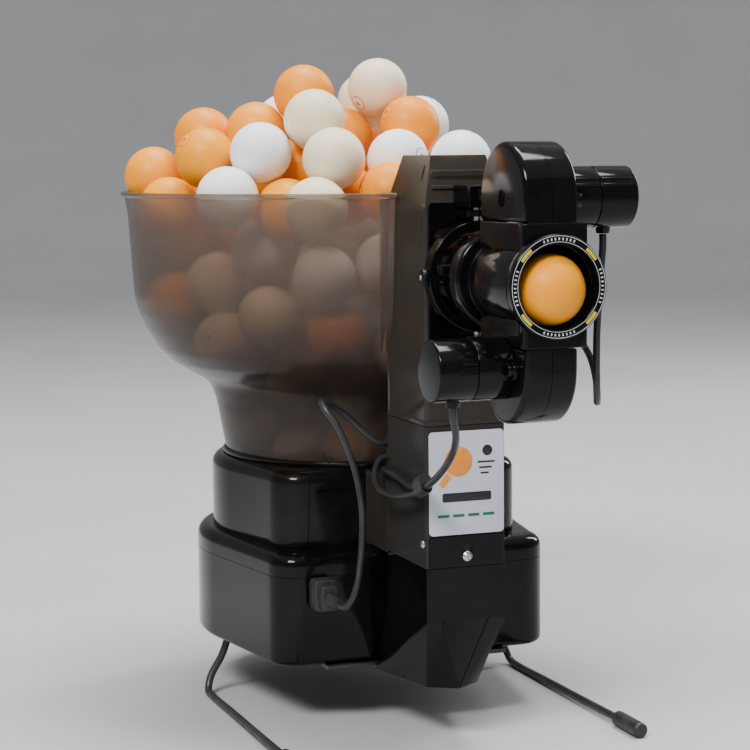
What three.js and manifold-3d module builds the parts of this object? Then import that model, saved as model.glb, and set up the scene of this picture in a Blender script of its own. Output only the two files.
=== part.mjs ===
// Table-tennis ball machine: a hopper and feed base behind the end of a table, a narrow tower on a foot,
// and a two-wheel shooting head on a gimbal. Millimetres, +Z up, the head shoots along -Y.
// Origin: the middle of the foot's flat sole, on the table top.
import * as THREE from 'three';
import { mergeVertices } from 'three/addons/utils/BufferGeometryUtils.js';
import Module from 'manifold-3d';

const wasm = await Module();
wasm.setup();

// ---- driving dimensions ----
const BALL_R = 20;
const GAP = 0.3; // clearance that neighbouring pieces keep

// tower, on a foot that tapers down to its sole
const TOWER_W = 26; // half width
const TOWER_FRONT = -47;
const TOWER_BACK = 19;
const TOWER_MID = (TOWER_FRONT + TOWER_BACK) / 2;
const TOWER_DEPTH = TOWER_BACK - TOWER_FRONT;
const TOWER_WALL = 2;
const FOOT_WALL = 2.4;
const FOOT_TOP = 79;
const FOOT_TAPER_TOP = 47;
const SEAM_Z = 166;
const SHOULDER_Z = 296;
const TOWER_TOP = 328;
const SHOULDER_TAPER = 0.69; // top outline over full outline
const OPENING = { halfWidth: 22, low: 220, high: 289 };
const VENTS = [
  { y: TOWER_FRONT + 14, low: 313, high: 322 },
  { y: TOWER_FRONT + 3, low: 284, high: 292 },
];
const VENT_WIDTH = 2.5;
const SOLE = { front: -33, corner: -23, nose: 1.5, back: 33, frontHalf: 17, backHalf: 30, floor: 6 };
const FOLD_X = 15; // where the foot's front creases meet its flat front
const LABEL = { half: 24.4, low: 99.5, high: 162.7, corner: 2.5, thick: 1 };
const PANEL = { low: FOOT_TOP + 0.8, high: 98.5, corner: 0.8 };
const SCREW = { z: 86, head: 3.2, shank: 1.5, hole: 1.9, keyhole: 3.6 };
const SIDE_SCREW = { y: TOWER_FRONT + 5, z: 94, head: 2.8 };
const CHANNEL = { inner: 21, wall: 2, floor: 80, runTop: 104, top: 279, end: 66, depth: 43, backLow: 124 };
const DUCT = { outer: 26, inner: 24, top: 125, roof: 2 };

// base, collar and hopper behind the tower
const BASE = { front: 36, half: 95, corner: 20, round: 110, low: 4.3, seam: 62, high: 77, edge: 5 };
const COLLAR = { front: 60, half: 86, corner: 22, round: 99, low: 77.3, high: 126, edge: 6 };
const HOPPER_Y = 153;
const SHELL = 2.5;
const NECK_R = 87;
const NECK_LOW = 79.5;
const NECK_HOLE_R = 89.6;
const HOPPER_PROFILE = [
  [NECK_R, NECK_LOW],
  [88.5, 124],
  [92, 143],
  [95.5, 163],
  [100, 174.8],
  [106.2, 179.3],
  [114, 183.7],
  [124.5, 190],
  [133.5, 198.5],
  [141.5, 211.8],
  [147.2, 223.6],
  [150, 234.5],
  [153.5, 290],
  [155.5, 301.5],
];
const RIM = { r: 158, low: 302.5, high: 305 };
const RECESS_LOW = 150; // the hopper's recess for the tower starts here
const BALL_EXIT = { half: 21.5, top: 119 };
const HEAP = { x: -6, y: 116, z: 270, rx: 132, ry: 108, top: 393, shelf: 262, wall: 146, low: 140, skin: 2 };
const HEAP_CLEARANCE = 4.5;
const ROTOR = { r: 70, pitch: 62, pocket: 21, pockets: 6, low: 88, high: 100, shaft: 4 };
const PEG = { x: 19, r: 4, tipR: 3, top: 134 };
const GEAR_MOTOR = { r: 28, low: 46, high: 73.5, canR: 18, canLow: 12, ears: 36 };

// electronics, sockets and bracket
const BOARD = { half: 40, front: 196, back: 236, low: 12, thick: 1.6 };
const SOCKET = { x: -66, z: 52, half: 7, halfHigh: 8, front: 36.2, back: 52 };
const INLET = { x: 24, z: 40, r: 6, flange: 9, bore: 3.4, deep: 12 };
const CONTROL = { x: -24, z: 40, r: 7, flange: 10, bore: 5, deep: 10 };
const ROD = { r: 2.5, top: [97, 143], spread: 112, low: -34, front: -50, tipR: 5, sleeve: 5 };
const PLATE = { tongue: 23, half: 62, front: 0, step: 34, back: 190, chamfer: 20, low: 1.5, high: 3.9 };

// shooting head and its gimbal
const AXIS_Z = 257; // barrel axis
const GIMBAL_Y = -67;
const WHEEL_Y = -138;
const WHEEL_OFFSET = 47;
const WHEEL_R = 28;
const TYRE_IN = 22;
const HUB = { r: 21.7, half: 9, boss: 6, bossHalf: 11, recess: 16, web: 3 };
const NOZZLE_FRONT = -178;
const NOZZLE = { r: 28.7, bore: 23.5, depth: 6.7 };
const BARREL = { r: 24.5, bore: 22.6, back: -104.5 };
const WINDOW = { half: 11.5, reach: 22 }; // where the wheels enter the barrel
const HOUSING = { half: 16, r: 31.5, wall: 2 };
const SADDLE = { half: 18, near: 16, far: 34, front: -171, back: -107 };
const WELL = { half: 13, reach: 29 };
const POD = { r: 17.5, seam: 37, end: 60, wall: 2, gland: 46, glandR: 4 };
const MOTOR = { r: 14, length: 38, shaft: 1.6 };
const FRAME = { half: 24, low: 215, high: 300, thick: 2.7, throat: 20.8, throatHalf: 28 };
const PIN_R = 3;
const LUG = { near: 35.2, far: 39, r: 8 };
const SERVO = { half: 9, height: 13, reach: 9 };
const GIMBAL = { r: 33, bore: 27.2, halfDepth: 5 };
const DRUM = { r: 24, bore: 21.6, back: -57, front: -99, boss: 5, bossEnd: 26.4 };
const TILT_PIN = { near: 22, far: 35, knob: 5.5, knobNear: 33.4, knobFar: 37 };
const COLLAR_RING = { r: 29, back: -90, front: -104, round: 2.5, notch: [-16, -7], notchLow: 24.5 };
const SERVED = { y: -165, z: AXIS_Z - 2.2 };

// leads
const LEAD_R = 2.1;
const HARNESS_ROUTE = [
  [-66, 0.3, 51.5],
  [-66, -5, 51.2],
  [-64.5, -9.5, 52],
  [-61.5, -12, 57],
  [-58, -12, 66],
  [-55, -9.5, 78],
  [-52.5, -6.5, 92],
  [-51, -3, 108],
  [-51.5, 1.5, 124],
  [-53.5, 6, 138],
  [-57, 10, 151],
  [-62, 14, 163],
  [-67, 19, 171.5],
  [-67, 25, 175.8],
  [-61, 29.5, 173.5],
  [-51, 32, 167],
  [-41, 32, 158],
  [-33, 29.5, 150.5],
  [-27.5, 28.2, 147.2],
  [-22.7, 28, 146.5],
];
const LOWER_LEAD_ROUTE = [
  [-46, -138, 189.2],
  [-45.4, -137.5, 182.5],
  [-42.5, -134, 174],
  [-38.5, -123, 165],
  [-35.3, -107, 155],
  [-34.3, -89, 144],
  [-34.3, -63, 131.5],
  [-35, -39, 124],
  [-36.8, -17, 120.7],
  [-38.5, -1, 122],
  [-38, 9, 126.5],
  [-34.5, 17.5, 132.5],
  [-29, 23.5, 137],
  [-22.7, 24.5, 138.3],
];
const BRANCH_ROUTE = [
  [-23, 24.2, 130.8],
  [-27.2, 22, 131],
  [-29.6, 13, 131.5],
  [-29.4, 0, 131],
  [-30.4, -18, 130],
  [-32.4, -36, 129],
  [-34, -48.2, 130.7],
  [-34.3, -56, 133.7],
];
const UPPER_LEAD_ROUTE = [
  [46, -138, 283.2],
  [46, -138, 276],
  [45, -137.5, 262],
  [44, -137, 245],
  [43.4, -136, 225],
  [44, -134.5, 206],
  [46, -131, 193],
  [50, -123.5, 186],
  [54.5, -114.5, 189],
  [56.5, -108, 199],
  [55.5, -102, 211],
  [50, -97, 221],
  [40, -94.5, 224.5],
  [28, -94, 221],
  [18.5, -96, 216],
  [12.5, -100.5, 213.5],
  [11, -105.8, 213],
];
const SPLICE = { at: [-34.3, -63, 131.5], aim: [0, 25, -9.9], length: 11 };

// ---- materials ----
const plastic = (color, roughness = 0.2, more = {}) =>
  new THREE.MeshStandardMaterial({ color, roughness, metalness: 0, ...more });
const metal = (color, roughness = 0.3) => new THREE.MeshStandardMaterial({ color, roughness, metalness: 1 });
const glossBlack = plastic(0x0a0b0d, 0.12);
const smokyBlack = plastic(0x15130f, 0.15);
const smoky = plastic(0x5a4f45, 0.18, { transparent: true, opacity: 0.6 });
const rubber = plastic(0x111111, 0.8);
const wheelRubber = plastic(0x1c1c1e, 0.75);
const steel = metal(0xb9bbbd, 0.3);
const darkSteel = metal(0x26282b, 0.4);
const darkPlastic = plastic(0x1b1917, 0.4);
const naturalPlastic = plastic(0xd2cdbf, 0.45);
const silver = metal(0xa9adb4, 0.35);
const boardGreen = plastic(0x1c5a34, 0.5);
const ballOrange = plastic(0xff8a1e, 0.45);
const ballCream = plastic(0xf3e7d3, 0.45);

// ---- solids ----
function solid(geometry) {
  const bare = geometry.clone();
  bare.deleteAttribute('normal');
  bare.deleteAttribute('uv');
  const merged = mergeVertices(bare, 1e-4);
  return new wasm.Manifold(
    new wasm.Mesh({
      numProp: 3,
      vertProperties: new Float32Array(merged.attributes.position.array),
      triVerts: new Uint32Array(merged.index.array),
    }),
  );
}

function geometryOf(manifold) {
  const mesh = manifold.getMesh();
  const geometry = new THREE.BufferGeometry();
  geometry.setAttribute('position', new THREE.BufferAttribute(new Float32Array(mesh.vertProperties), 3));
  geometry.setIndex(new THREE.BufferAttribute(new Uint32Array(mesh.triVerts), 1));
  geometry.computeVertexNormals();
  return geometry;
}

const join = (...solids) => solids.reduce((all, one) => all.add(one));
const cut = (body, ...tools) => tools.reduce((all, one) => all.subtract(one), body);

// A box between two corners.
function box(x0, x1, y0, y1, z0, z1) {
  const geometry = new THREE.BoxGeometry(x1 - x0, y1 - y0, z1 - z0);
  return solid(geometry.translate((x0 + x1) / 2, (y0 + y1) / 2, (z0 + z1) / 2));
}

// A round bar along one axis, from a to b on that axis, centred on the other two coordinates.
function rod(axis, r, a, b, c1, c2, sides = 32, rEnd = r) {
  const geometry = new THREE.CylinderGeometry(rEnd, r, b - a, sides);
  const mid = (a + b) / 2;
  if (axis === 'x') geometry.rotateZ(-Math.PI / 2).translate(mid, c1, c2);
  if (axis === 'y') geometry.translate(c1, mid, c2);
  if (axis === 'z') geometry.rotateX(Math.PI / 2).translate(c1, c2, mid);
  return solid(geometry);
}

// A flat outline in XY raised from z0 to z1, with rounded rims when round is given.
function slab(shape, z0, z1, round = 0, segments = 4) {
  const geometry = new THREE.ExtrudeGeometry(shape, {
    depth: z1 - z0 - 2 * round,
    bevelEnabled: round > 0,
    bevelThickness: round,
    bevelSize: round,
    bevelOffset: -round,
    bevelSegments: 2,
    curveSegments: segments,
  });
  return solid(geometry.translate(0, 0, z0 + round));
}

// An outline drawn in YZ, extruded along X.
function slabAlongX(shape, x0, x1, segments = 10) {
  const geometry = new THREE.ExtrudeGeometry(shape, {
    depth: x1 - x0,
    bevelEnabled: false,
    curveSegments: segments,
  });
  geometry.rotateX(Math.PI / 2).rotateZ(Math.PI / 2);
  return solid(geometry.translate(x0, 0, 0));
}

// An outline drawn in XZ, extruded along Y.
function slabAlongY(shape, y0, y1, segments = 3) {
  const geometry = new THREE.ExtrudeGeometry(shape, {
    depth: y1 - y0,
    bevelEnabled: false,
    curveSegments: segments,
  });
  return solid(geometry.rotateX(Math.PI / 2).translate(0, y1, 0));
}

function roundedRect(x0, x1, y0, y1, r) {
  const shape = new THREE.Shape();
  shape.moveTo(x0 + r, y0);
  shape.lineTo(x1 - r, y0);
  shape.absarc(x1 - r, y0 + r, r, -Math.PI / 2, 0);
  shape.lineTo(x1, y1 - r);
  shape.absarc(x1 - r, y1 - r, r, 0, Math.PI / 2);
  shape.lineTo(x0 + r, y1);
  shape.absarc(x0 + r, y1 - r, r, Math.PI / 2, Math.PI);
  shape.lineTo(x0, y0 + r);
  shape.absarc(x0 + r, y0 + r, r, Math.PI, 1.5 * Math.PI);
  return shape;
}

// A closed loft between two outlines of the same number of points, anticlockwise from above.
function loft(lower, z0, upper, z1) {
  const count = lower.length;
  const points = [...lower.map(([x, y]) => [x, y, z0]), ...upper.map(([x, y]) => [x, y, z1])];
  const index = [];
  for (let i = 0; i < count; i += 1) {
    const next = (i + 1) % count;
    index.push(i, next, count + next, i, count + next, count + i);
    if (i > 0 && i < count - 1) {
      index.push(0, i + 1, i);
      index.push(count, count + i, count + i + 1);
    }
  }
  const geometry = new THREE.BufferGeometry();
  geometry.setAttribute('position', new THREE.Float32BufferAttribute(points.flat(), 3));
  geometry.setIndex(index);
  return solid(geometry);
}

// A body of revolution about a vertical axis through (x, y). The profile is a list of [radius, height].
function turned(profile, x, y, segments = 40) {
  const points = profile.map(([r, z]) => new THREE.Vector2(r, z));
  const geometry = new THREE.LatheGeometry(points, segments);
  return solid(geometry.rotateX(Math.PI / 2).translate(x, y, 0));
}

// A body of revolution about the barrel axis. The profile is a list of [radius, y].
function turnedOnBarrel(profile, segments = 40) {
  const points = profile.map(([r, y]) => new THREE.Vector2(r, y));
  const geometry = new THREE.LatheGeometry(points, segments);
  return solid(geometry.translate(0, 0, AXIS_Z));
}

// A round tube along a smooth curve through the points.
function leadGeometry(points, radius, steps) {
  const section = new THREE.Shape();
  const sides = 8;
  for (let i = 0; i < sides; i += 1) {
    const angle = (2 * Math.PI * i) / sides;
    if (i === 0) section.moveTo(radius, 0);
    else section.lineTo(radius * Math.cos(angle), radius * Math.sin(angle));
  }
  const path = new THREE.CatmullRomCurve3(points.map(([x, y, z]) => new THREE.Vector3(x, y, z)));
  return new THREE.ExtrudeGeometry(section, { steps, bevelEnabled: false, extrudePath: path });
}

const machine = new THREE.Group();

function add(name, body, material, parent = machine) {
  const geometry = body.isBufferGeometry ? body : geometryOf(body);
  const mesh = new THREE.Mesh(geometry, material);
  mesh.name = name;
  parent.add(mesh);
}

// ---- plan outlines of the base and of the collar: a flat front with round corners, sides that run
// tangent to a round back about the hopper's axis ----
function planOutline(plan, inset) {
  const half = plan.half - inset;
  const front = plan.front + inset;
  const corner = plan.corner - inset;
  const round = plan.round - inset;
  const dx = half;
  const dy = front + corner - HOPPER_Y;
  const tangent = Math.atan2(dy, dx) + Math.acos(round / Math.hypot(dx, dy));
  const shape = new THREE.Shape();
  shape.moveTo(corner - half, front);
  shape.lineTo(half - corner, front);
  shape.absarc(half - corner, front + corner, corner, -Math.PI / 2, 0);
  shape.absarc(0, HOPPER_Y, round, tangent, Math.PI - tangent);
  shape.absarc(corner - half, front + corner, corner, Math.PI, 1.5 * Math.PI);
  return shape;
}

function addBase() {
  const outer = slab(planOutline(BASE, 0), BASE.low, BASE.high, BASE.edge, 6);
  const inner = slab(planOutline(BASE, SHELL), BASE.low + SHELL, BASE.high - SHELL, 0, 6);
  const hollow = cut(outer, inner);
  const wide = 200;
  const below = box(-wide, wide, -wide, 2 * wide, -10, BASE.seam - GAP / 2);
  const above = box(-wide, wide, -wide, 2 * wide, BASE.seam + GAP / 2, 200);
  const [rodX, rodY] = ROD.top;
  const sleeves = [-1, 1].map((side) => rod('z', ROD.sleeve, BASE.low + 1, 30, side * rodX, rodY, 16));
  const bores = [-1, 1].map((side) => rod('z', ROD.r + GAP, -5, 26, side * rodX, rodY, 12));
  const reach = SOCKET.half + 0.5;
  const reachUp = SOCKET.halfHigh + 0.5;
  const { x, z } = SOCKET;
  const socketHole = box(x - reach, x + reach, BASE.front - 5, BASE.front + 9, z - reachUp, z + reachUp);
  const rear = HOPPER_Y + BASE.round;
  const rearHoles = [INLET, CONTROL].map((socket) =>
    rod('y', socket.r + GAP, rear - 10, rear + 5, socket.x, socket.z, 20),
  );
  const lower = join(hollow.intersect(below), ...sleeves);
  add('base_tray', cut(lower, ...bores, socketHole, ...rearHoles), glossBlack);
  const shaftHole = rod('z', ROTOR.shaft + 1, BASE.seam, BASE.high + 5, 0, HOPPER_Y, 20);
  add('base_cover', cut(hollow.intersect(above), shaftHole), glossBlack);
}

function addCollar() {
  const outer = slab(planOutline(COLLAR, 0), COLLAR.low - 8, COLLAR.high, COLLAR.edge, 6);
  const inner = slab(planOutline(COLLAR, SHELL), COLLAR.low - 12, COLLAR.high - SHELL, 0, 6);
  const trim = box(-200, 200, -200, 400, 0, COLLAR.low);
  const neckHole = rod('z', NECK_HOLE_R, COLLAR.low, COLLAR.high + 5, 0, HOPPER_Y, 36);
  const exitTop = DUCT.top - DUCT.roof - 1;
  const exit = box(-DUCT.inner, DUCT.inner, COLLAR.front - 10, COLLAR.front + 10, 0, exitTop);
  add('feed_collar', cut(outer, inner, trim, neckHole, exit), smokyBlack);
}

// ---- duct between the tower and the collar; balls run through it ----
function addDuct() {
  const y0 = TOWER_BACK + GAP;
  const y1 = COLLAR.front - GAP;
  const outer = box(-DUCT.outer, DUCT.outer, y0, y1, COLLAR.low, DUCT.top);
  const inner = box(-DUCT.inner, DUCT.inner, y0 - 5, y1 + 5, 0, DUCT.top - DUCT.roof);
  add('feed_duct', cut(outer, inner), smoky);
}

// ---- hopper ----
function addHopper() {
  const [topR] = HOPPER_PROFILE[HOPPER_PROFILE.length - 1];
  const lip = [
    [RIM.r, RIM.low],
    [RIM.r, RIM.high],
    [0, RIM.high],
  ];
  const outer = turned([[0, NECK_LOW], ...HOPPER_PROFILE, ...lip], 0, HOPPER_Y, 32);
  const bore = HOPPER_PROFILE.slice(1).map(([r, z]) => [r - SHELL, z]);
  const ends = {
    low: [[0, NECK_LOW - 10], [NECK_R - SHELL, NECK_LOW - 10]],
    high: [[topR - SHELL, RIM.high + 15], [0, RIM.high + 15]],
  };
  const inner = turned([...ends.low, ...bore, ...ends.high], 0, HOPPER_Y, 32);
  const recessAround = (grow, low, high) => {
    const half = TOWER_W + GAP + grow;
    return box(-half, half, -60, TOWER_BACK + GAP + grow, low, high);
  };
  const recess = recessAround(0, RECESS_LOW, 400);
  const recessWall = recessAround(SHELL, RECESS_LOW - 10, 410);
  const ballExit = box(-BALL_EXIT.half, BALL_EXIT.half, 40, 90, 70, BALL_EXIT.top);
  add('hopper', cut(cut(outer, recess), cut(inner, recessWall), ballExit), smoky);
}

// ---- heap of loose balls, as one thin skin that is open below ----
function addBallLoad() {
  const core = (inset, low) => {
    const radius = (r) => r - SHELL - HEAP_CLEARANCE - inset;
    const top = HEAP.shelf - inset;
    const wall = [
      [radius(87), low],
      [radius(94), 175],
      [radius(134), 209],
      [radius(149), 239],
      [radius(151), top],
    ];
    return turned([[0, low], ...wall, [0, top]], 0, HOPPER_Y, 18);
  };
  const mound = (inset) => {
    const geometry = new THREE.SphereGeometry(1, 16, 8);
    geometry.rotateX(Math.PI / 2).scale(HEAP.rx - inset, HEAP.ry - inset, HEAP.top - HEAP.z - inset);
    const inWall = rod('z', HEAP.wall - inset, HEAP.shelf - 8, 420, 0, HOPPER_Y, 18);
    return solid(geometry.translate(HEAP.x, HEAP.y, HEAP.z)).intersect(inWall);
  };
  const clearOfTower = (margin) => {
    const side = TOWER_W + margin;
    return box(-side, side, -120, TOWER_BACK + margin, 100, 420);
  };
  const outside = cut(join(core(0, HEAP.low), mound(0)), clearOfTower(HEAP_CLEARANCE));
  const hollow = join(core(HEAP.skin, HEAP.low - 10), mound(HEAP.skin));
  add('ball_load', cut(outside, cut(hollow, clearOfTower(HEAP_CLEARANCE + HEAP.skin))), ballCream);
}

// ---- feed rotor: a star wheel whose open pockets push the balls round to the duct ----
function addFeed() {
  const disc = rod('z', ROTOR.r, ROTOR.low, ROTOR.high, 0, HOPPER_Y, 24);
  const pockets = [];
  for (let i = 0; i < ROTOR.pockets; i += 1) {
    const angle = -Math.PI / 2 + (2 * Math.PI * i) / ROTOR.pockets;
    const x = ROTOR.pitch * Math.cos(angle);
    const y = HOPPER_Y + ROTOR.pitch * Math.sin(angle);
    pockets.push(rod('z', ROTOR.pocket, ROTOR.low - 8, ROTOR.high + 10, x, y, 16));
  }
  const domeLow = ROTOR.high - 2;
  const domeProfile = [
    [0, domeLow],
    [28, domeLow],
    [24, domeLow + 10],
    [14, domeLow + 24],
    [0, domeLow + 30],
  ];
  const dome = turned(domeProfile, 0, HOPPER_Y, 16);
  const shaft = rod('z', ROTOR.shaft, GEAR_MOTOR.high + GAP, ROTOR.low + 2, 0, HOPPER_Y, 20);
  const peg = rod('z', PEG.r, domeLow, PEG.top, PEG.x, HOPPER_Y, 12, PEG.tipR);
  add('feed_rotor', join(cut(disc, ...pockets), dome, shaft, peg), naturalPlastic);
  const gearbox = rod('z', GEAR_MOTOR.r, GEAR_MOTOR.low, GEAR_MOTOR.high, 0, HOPPER_Y, 32);
  const can = rod('z', GEAR_MOTOR.canR, GEAR_MOTOR.canLow, GEAR_MOTOR.low + 1, 0, HOPPER_Y, 28);
  const ears = box(
    -GEAR_MOTOR.ears, GEAR_MOTOR.ears, HOPPER_Y - 7, HOPPER_Y + 7, GEAR_MOTOR.high - 5.5, GEAR_MOTOR.high,
  );
  add('feed_gear_motor', join(gearbox, can, ears), steel);
}

// ---- electronics in the base ----
function addElectronics() {
  const top = BOARD.low + BOARD.thick;
  const board = box(-BOARD.half, BOARD.half, BOARD.front, BOARD.back, BOARD.low, top);
  const chips = [
    box(-30, -16, 204, 218, top - 0.2, top + 3.4),
    box(-4, 10, 210, 230, top - 0.2, top + 11.4),
    box(20, 34, 202, 226, top - 0.2, top + 7.4),
    rod('z', 5, top - 0.2, top + 13.4, -24, 228, 16),
  ];
  const postLow = BASE.low + SHELL + GAP;
  const post = (px, py) => rod('z', 2.5, postLow, BOARD.low + 0.5, px, py, 8);
  const posts = [post(-34, 200), post(34, 200), post(-34, 232), post(34, 232)];
  add('control_board', join(board, ...chips, ...posts), boardGreen);
  const { x, z, half, halfHigh, front, back } = SOCKET;
  const body = box(x - half, x + half, front, back, z - halfHigh, z + halfHigh);
  const mouth = box(x - half + 2, x + half - 2, front - 5, back - 6, z - halfHigh + 2, z + halfHigh - 2);
  add('head_socket', cut(body, mouth), darkPlastic);
  const rear = HOPPER_Y + BASE.round;
  const roundSocket = (part) => {
    const barrel = rod('y', part.r, rear - 18, rear - 1, part.x, part.z, 14);
    const flange = rod('y', part.flange, rear - 18, rear - 10, part.x, part.z, 14);
    return cut(join(barrel, flange), rod('y', part.bore, rear - part.deep, rear + 5, part.x, part.z, 12));
  };
  add('power_inlet', roundSocket(INLET), darkPlastic);
  add('control_socket', roundSocket(CONTROL), darkPlastic);
}

// ---- steel support rods that hook under the table ----
function addRods() {
  [-1, 1].forEach((side) => {
    const name = side < 0 ? 'left' : 'right';
    const x = side * ROD.top[0];
    const xLow = side * ROD.spread;
    const tipZ = ROD.low + ROD.tipR - ROD.r;
    const path = [
      [x, ROD.top[1], 25],
      [x, ROD.top[1], 12],
      [x, ROD.top[1], 3],
      [x + side * 4, ROD.top[1] + 1, -10],
      [xLow - side * 3, ROD.top[1] + 1, -24],
      [xLow, ROD.top[1] - 3, ROD.low + 1.5],
      [xLow, ROD.top[1] - 14, ROD.low],
      [xLow, ROD.top[1] - 60, ROD.low + 0.6],
      [xLow, ROD.front + 60, ROD.low + 1.5],
      [xLow, ROD.front, tipZ],
    ];
    add(`support_rod_${name}`, leadGeometry(path, ROD.r, 24), darkSteel);
    const tip = rod('y', ROD.tipR, ROD.front - 12, ROD.front + 20, xLow, tipZ, 20);
    const bore = rod('y', ROD.r + GAP + 0.4, ROD.front - 1, ROD.front + 30, xLow, tipZ + 0.25, 16);
    add(`rod_tip_${name}`, cut(tip, bore), rubber);
  });
}

// ---- foot, bracket plate and tower ----
function addFoot() {
  const upperOutline = (inset) => {
    const w = TOWER_W - inset;
    const front = TOWER_FRONT + inset;
    const back = TOWER_BACK - inset;
    return [
      [-w, front],
      [-FOLD_X, front],
      [FOLD_X, front],
      [w, front],
      [w, back],
      [-w, back],
    ];
  };
  const lowerOutline = (inset) => {
    const { front, corner, nose, back, frontHalf, backHalf } = SOLE;
    const near = front + inset;
    const far = back - inset;
    return [
      [inset - frontHalf, corner + inset],
      [-nose, near],
      [nose, near],
      [frontHalf - inset, corner + inset],
      [backHalf - inset, far],
      [inset - backHalf, far],
    ];
  };
  const flare = loft(lowerOutline(0), 0, upperOutline(0), FOOT_TAPER_TOP);
  const stem = loft(upperOutline(0), FOOT_TAPER_TOP - 1, upperOutline(0), FOOT_TOP);
  const flareIn = loft(lowerOutline(FOOT_WALL), SOLE.floor, upperOutline(FOOT_WALL), FOOT_TAPER_TOP);
  const stemIn = loft(upperOutline(FOOT_WALL), FOOT_TAPER_TOP - 0.5, upperOutline(FOOT_WALL), FOOT_TOP + 5);
  const slotHalf = PLATE.tongue + GAP;
  const slot = box(-slotHalf, slotHalf, PLATE.front - GAP, SOLE.back + 10, PLATE.low - GAP, PLATE.high + GAP);
  add('foot', cut(join(flare, stem), flareIn, stemIn, slot), glossBlack);
}
function addPlate() {
  const { tongue, half, front, step, back, chamfer } = PLATE;
  const shape = new THREE.Shape();
  shape.moveTo(-tongue, front);
  shape.lineTo(tongue, front);
  shape.lineTo(tongue, step);
  shape.lineTo(half, step);
  shape.lineTo(half, back - chamfer);
  shape.lineTo(half - chamfer, back);
  shape.lineTo(chamfer - half, back);
  shape.lineTo(-half, back - chamfer);
  shape.lineTo(-half, step);
  shape.lineTo(-tongue, step);
  shape.closePath();
  add('bracket_plate', slab(shape, PLATE.low, PLATE.high), darkSteel);
}

function addTower() {
  const outline = roundedRect(-TOWER_W, TOWER_W, TOWER_FRONT, TOWER_BACK, 2.5);
  const w = TOWER_WALL;
  const inside = roundedRect(w - TOWER_W, TOWER_W - w, TOWER_FRONT + w, TOWER_BACK - w, 1);
  const lower = slab(outline, FOOT_TOP + GAP, SEAM_Z - GAP / 2, 0, 3);
  const lowerIn = slab(inside, FOOT_TOP - 5, SEAM_Z + 5, 0, 2);
  const rearDoor = box(-DUCT.inner, DUCT.inner, TOWER_BACK - 5, TOWER_BACK + 5, 70, DUCT.top - DUCT.roof);
  const screwHole = rod('y', SCREW.hole, TOWER_FRONT - 3, TOWER_FRONT + 5, 0, SCREW.z, 12);
  const sideHole = rod('x', SCREW.hole, -TOWER_W - 3, -TOWER_W + 4, SIDE_SCREW.y, SIDE_SCREW.z, 12);
  add('tower_lower_shell', cut(lower, lowerIn, rearDoor, screwHole, sideHole), smokyBlack);

  const shoulder = (grow, z0, z1, taper) => {
    const geometry = new THREE.CylinderGeometry(taper, 1, z1 - z0, 4, 1);
    geometry.rotateY(Math.PI / 4).rotateX(Math.PI / 2);
    const diagonal = Math.SQRT2;
    geometry.scale((TOWER_W - grow) * diagonal, (TOWER_DEPTH / 2 - grow) * diagonal, 1);
    return solid(geometry.translate(0, TOWER_MID, (z0 + z1) / 2));
  };
  const upper = join(
    slab(outline, SEAM_Z + GAP / 2, SHOULDER_Z, 0, 3),
    shoulder(0, SHOULDER_Z - 0.5, TOWER_TOP, SHOULDER_TAPER),
  );
  const upperIn = join(
    slab(inside, SEAM_Z - 5, SHOULDER_Z, 0, 2),
    shoulder(w, SHOULDER_Z - 0.6, TOWER_TOP - w, SHOULDER_TAPER),
  );
  const { halfWidth, low, high } = OPENING;
  const mouth = box(-halfWidth, halfWidth, TOWER_FRONT - 5, TOWER_FRONT + 5, low, high);
  const vents = VENTS.map((vent) => box(-TOWER_W - 10, 0, vent.y, vent.y + VENT_WIDTH, vent.low, vent.high));
  add('tower_upper_shell', cut(upper, upperIn, mouth, ...vents), smoky);

  const face = TOWER_FRONT - GAP;
  const label = roundedRect(-LABEL.half, LABEL.half, LABEL.low, LABEL.high, LABEL.corner);
  add('label_plate', slabAlongY(label, face - LABEL.thick, face), silver);
  const panel = roundedRect(-LABEL.half, LABEL.half, PANEL.low, PANEL.high, PANEL.corner);
  const keyhole = join(
    rod('y', SCREW.shank + 0.6, face - 10, face + 10, 0, SCREW.z, 12),
    rod('y', SCREW.keyhole, face - 10, face + 10, 0, SCREW.z + 5, 16),
  );
  add('front_panel', cut(slabAlongY(panel, face - LABEL.thick, face), keyhole), glossBlack);
}

function addScrews() {
  const face = TOWER_FRONT - GAP - LABEL.thick - GAP;
  const front = join(
    rod('y', SCREW.head, face - 1.8, face, 0, SCREW.z, 20),
    rod('y', SCREW.shank, face - 0.5, face + 12, 0, SCREW.z, 12),
  );
  const driverSlot = box(-1.9, 1.9, face - 3, face - 1.2, SCREW.z - 0.4, SCREW.z + 0.4);
  add('panel_screw', cut(front, driverSlot), steel);
  const side = -TOWER_W - GAP;
  const { y, z, head } = SIDE_SCREW;
  const sideShank = rod('x', SCREW.shank, side - 0.5, side + 2.5, y, z, 12);
  add('side_screw', join(rod('x', head, side - 1.6, side, y, z, 20), sideShank), steel);
}

// ---- ball channel: floor and side walls from the rotor to the tower, then a riser up to the head ----
function addChannel() {
  const { inner, wall, floor, runTop, top, end, depth, backLow } = CHANNEL;
  const front = TOWER_FRONT + TOWER_WALL + 0.6;
  const riserBack = front + depth;
  const side = new THREE.Shape();
  side.moveTo(front, floor);
  side.lineTo(end, floor);
  side.lineTo(end, runTop);
  side.lineTo(riserBack + wall, runTop);
  side.lineTo(riserBack + wall, top);
  side.lineTo(front, top);
  side.closePath();
  const half = inner + wall / 2;
  const pieces = [
    slabAlongX(side, -inner - wall, -inner),
    slabAlongX(side, inner, inner + wall),
    box(-half, half, front, end, floor, floor + wall),
    box(-half, half, riserBack, riserBack + wall, backLow, top),
    box(-half, half, front, riserBack + 1, top - 1.5, top),
  ];
  add('ball_channel', join(...pieces), darkPlastic);
}

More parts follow.
